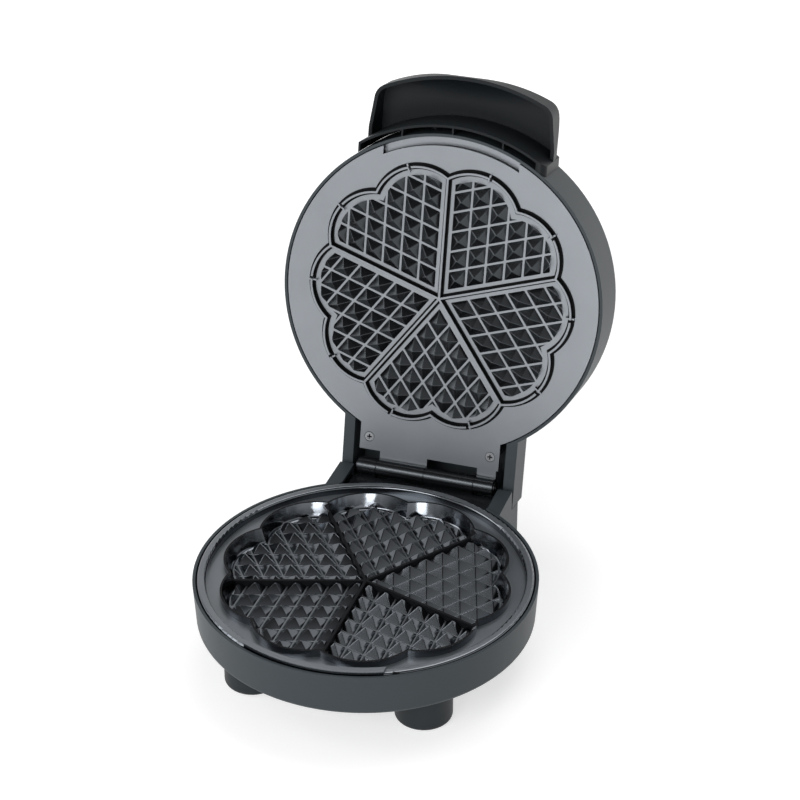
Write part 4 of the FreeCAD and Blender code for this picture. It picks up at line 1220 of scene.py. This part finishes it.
@dataclass
class Studio:
    """The pale floor, the soft lamps and the camera, in metres and degrees.

    Attributes:
        layout: Where the base is.
        azimuth: The camera's bearing from the front, towards +X.
        elevation: The camera's height angle.
        distance_mm: From the camera to its target.
        focal_px: The focal length in pixels of the 800 px image.
        target_mm: The point in the middle of the image, in the drawing.
        far: How far the camera sees.
        boxes: The lamps: one in front, one low in front, one at the left and one above.
        lit_height: The height of the point that the lamps face.
        ambient: The strength of the world's light on the object.
        ceiling: The tone of the studio's dark ceiling, which only reflections show.
        ceiling_rise: The rises, as sines, between which the backdrop darkens to the ceiling.
        floor_half: Half the side of the floor.
        floor_tone: The floor's colour under the lamps.
        floor_glow: The share of the floor's white that needs no lamp, near the object.
        floor_fade: The distances between which the floor turns white by itself.
    """

    layout: Layout
    azimuth: float = 18.32
    elevation: float = 30.47
    distance_mm: float = 1359.2
    focal_px: float = 2429.7
    target_mm: tuple[float, float, float] = (21.15, 0.0, 175.26)
    far: float = 20.0
    boxes: tuple[SoftBox, ...] = (
        SoftBox("front_soft_box", (-0.5, -2.0, 1.25), (1.4, 0.8), 20.0),
        SoftBox("low_soft_box", (0.5, -2.3, 0.25), (0.8, 0.4), 11.0),
        SoftBox("left_soft_box", (-1.9, -0.5, 1.1), (0.8, 1.4), 9.0),
        SoftBox("top_soft_box", (0.2, 0.9, 2.2), (1.8, 1.4), 20.0),
    )
    lit_height: float = 0.12
    ambient: float = 0.32
    ceiling: float = 0.02
    ceiling_rise: tuple[float, float] = (0.14, 0.92)
    floor_half: float = 6.0
    floor_tone: str = "#cfcfcf"
    floor_glow: float = 0.62
    floor_fade: tuple[float, float] = (0.3, 1.4)

    def camera(self) -> None:
        """Set up the camera at the photograph's viewing angle."""
        lens = bpy.data.cameras.new("studio_camera")
        lens.sensor_width = SENSOR_MM
        lens.lens = self.focal_px / IMAGE_PX * SENSOR_MM
        lens.clip_end = self.far
        camera = bpy.data.objects.new("studio_camera", lens)
        bpy.context.scene.collection.objects.link(camera)
        bearing, height = radians(self.azimuth), radians(self.elevation)
        aim = Vector((sin(bearing) * cos(height), -cos(bearing) * cos(height),
                      sin(height)))
        target = self.layout.place(Body.BASE) @ Vector(self.target_mm)
        camera.location = target + aim * self.distance_mm * MM
        camera.rotation_euler = aim.to_track_quat("Z", "Y").to_euler()
        bpy.context.scene.camera = camera

    def board(self) -> Material:
        """Return the floor's matt board, which shows white where no shadow falls.

        Returns:
            The material.
        """
        paint = bpy.data.materials.new("white_studio_board")
        paint.use_nodes = True
        paint.node_tree.nodes.clear()
        add = partial(add_node, paint.node_tree)
        ray = add("ShaderNodeLightPath").outputs
        seen = add("ShaderNodeMath", {0: ray["Is Camera Ray"], 1: ray["Is Glossy Ray"]},
                   operation="ADD", use_clamp=True)
        shown = add("ShaderNodeMath", {0: seen, 1: ray["Is Transmission Ray"]},
                    operation="ADD", use_clamp=True)
        place = add("ShaderNodeTexCoord").outputs["Object"]
        away = add("ShaderNodeVectorMath", {0: place}, operation="LENGTH")
        fade = add("ShaderNodeMapRange", {
            "Value": away.outputs["Value"], 1: self.floor_fade[0], 2: self.floor_fade[1],
            3: self.floor_glow, 4: 1.0}, interpolation_type="SMOOTHSTEP")
        glow = add("ShaderNodeMath", {0: shown, 1: fade}, operation="MULTIPLY")
        light = add("ShaderNodeEmission", {"Color": WHITE, "Strength": glow})
        matt = add("ShaderNodeBsdfDiffuse", {"Color": linear(self.floor_tone)})
        both = add("ShaderNodeAddShader", {0: light, 1: matt})
        add("ShaderNodeOutputMaterial", {"Surface": both})
        return paint

    def floor(self) -> None:
        """Lay the pale floor."""
        work = bmesh.new()
        bmesh.ops.create_grid(work, x_segments=1, y_segments=1, size=self.floor_half)
        floor = new_piece("studio_floor", work)
        floor.data.materials.append(self.board())

    def world(self) -> None:
        """Make the surroundings white to the eye and in reflections, under a dark ceiling."""
        world = bpy.data.worlds.new("white_studio")
        world.use_nodes = True
        bpy.context.scene.world = world
        add = partial(add_node, world.node_tree)
        ray = add("ShaderNodeLightPath").outputs
        mirrored = add("ShaderNodeMath", {0: ray["Is Glossy Ray"], 1: ray["Is Transmission Ray"]},
                       operation="ADD", use_clamp=True)
        ahead = add("ShaderNodeTexCoord").outputs["Generated"]
        parts = add("ShaderNodeSeparateXYZ", {0: ahead})
        backdrop = add("ShaderNodeMapRange", {
            "Value": parts.outputs["Z"], 1: self.ceiling_rise[0], 2: self.ceiling_rise[1],
            3: 1.0, 4: self.ceiling})
        around = add("ShaderNodeMapRange", {"Value": mirrored, 3: self.ambient, 4: backdrop})
        strength = add("ShaderNodeMapRange", {"Value": ray["Is Camera Ray"], 3: around, 4: 1.0})
        fill(world.node_tree.nodes["Background"], {"Color": WHITE, "Strength": strength})

    def build(self) -> None:
        """Set up the whole studio."""
        self.floor()
        for box in self.boxes:
            box.hang(Vector((0.0, 0.0, self.lit_height)))
        self.world()
        self.camera()
        bpy.context.scene.view_settings.view_transform = "Standard"


def corners(box: Any) -> list[list[float]]:
    """Return a box's two corners as plain numbers."""
    return [[float(value) for value in corner] for corner in box]


def main() -> None:
    """Build the scene piece by piece."""
    logging.basicConfig(level=logging.INFO, format="%(message)s")
    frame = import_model()
    hinge = frame["joints"][0]
    layout = Layout(Vector(hinge["pos_m"]), hinge["range_deg"][1])
    plates = (LowerPlate(layout), UpperPlate(layout))
    dressed = (*plates, TabScrews(layout), *Housings(layout).dressed())
    pieces = [node.build(frame["nodes"]) for node in dressed]
    pieces += [PyramidField(plate).build() for plate in plates]
    for piece in pieces:
        LOG.info("built %s with %d faces", piece.name, len(piece.data.polygons))
    InnerParts().dress(frame["nodes"])
    Studio(layout).build()


if __name__ == "__main__":
    main()
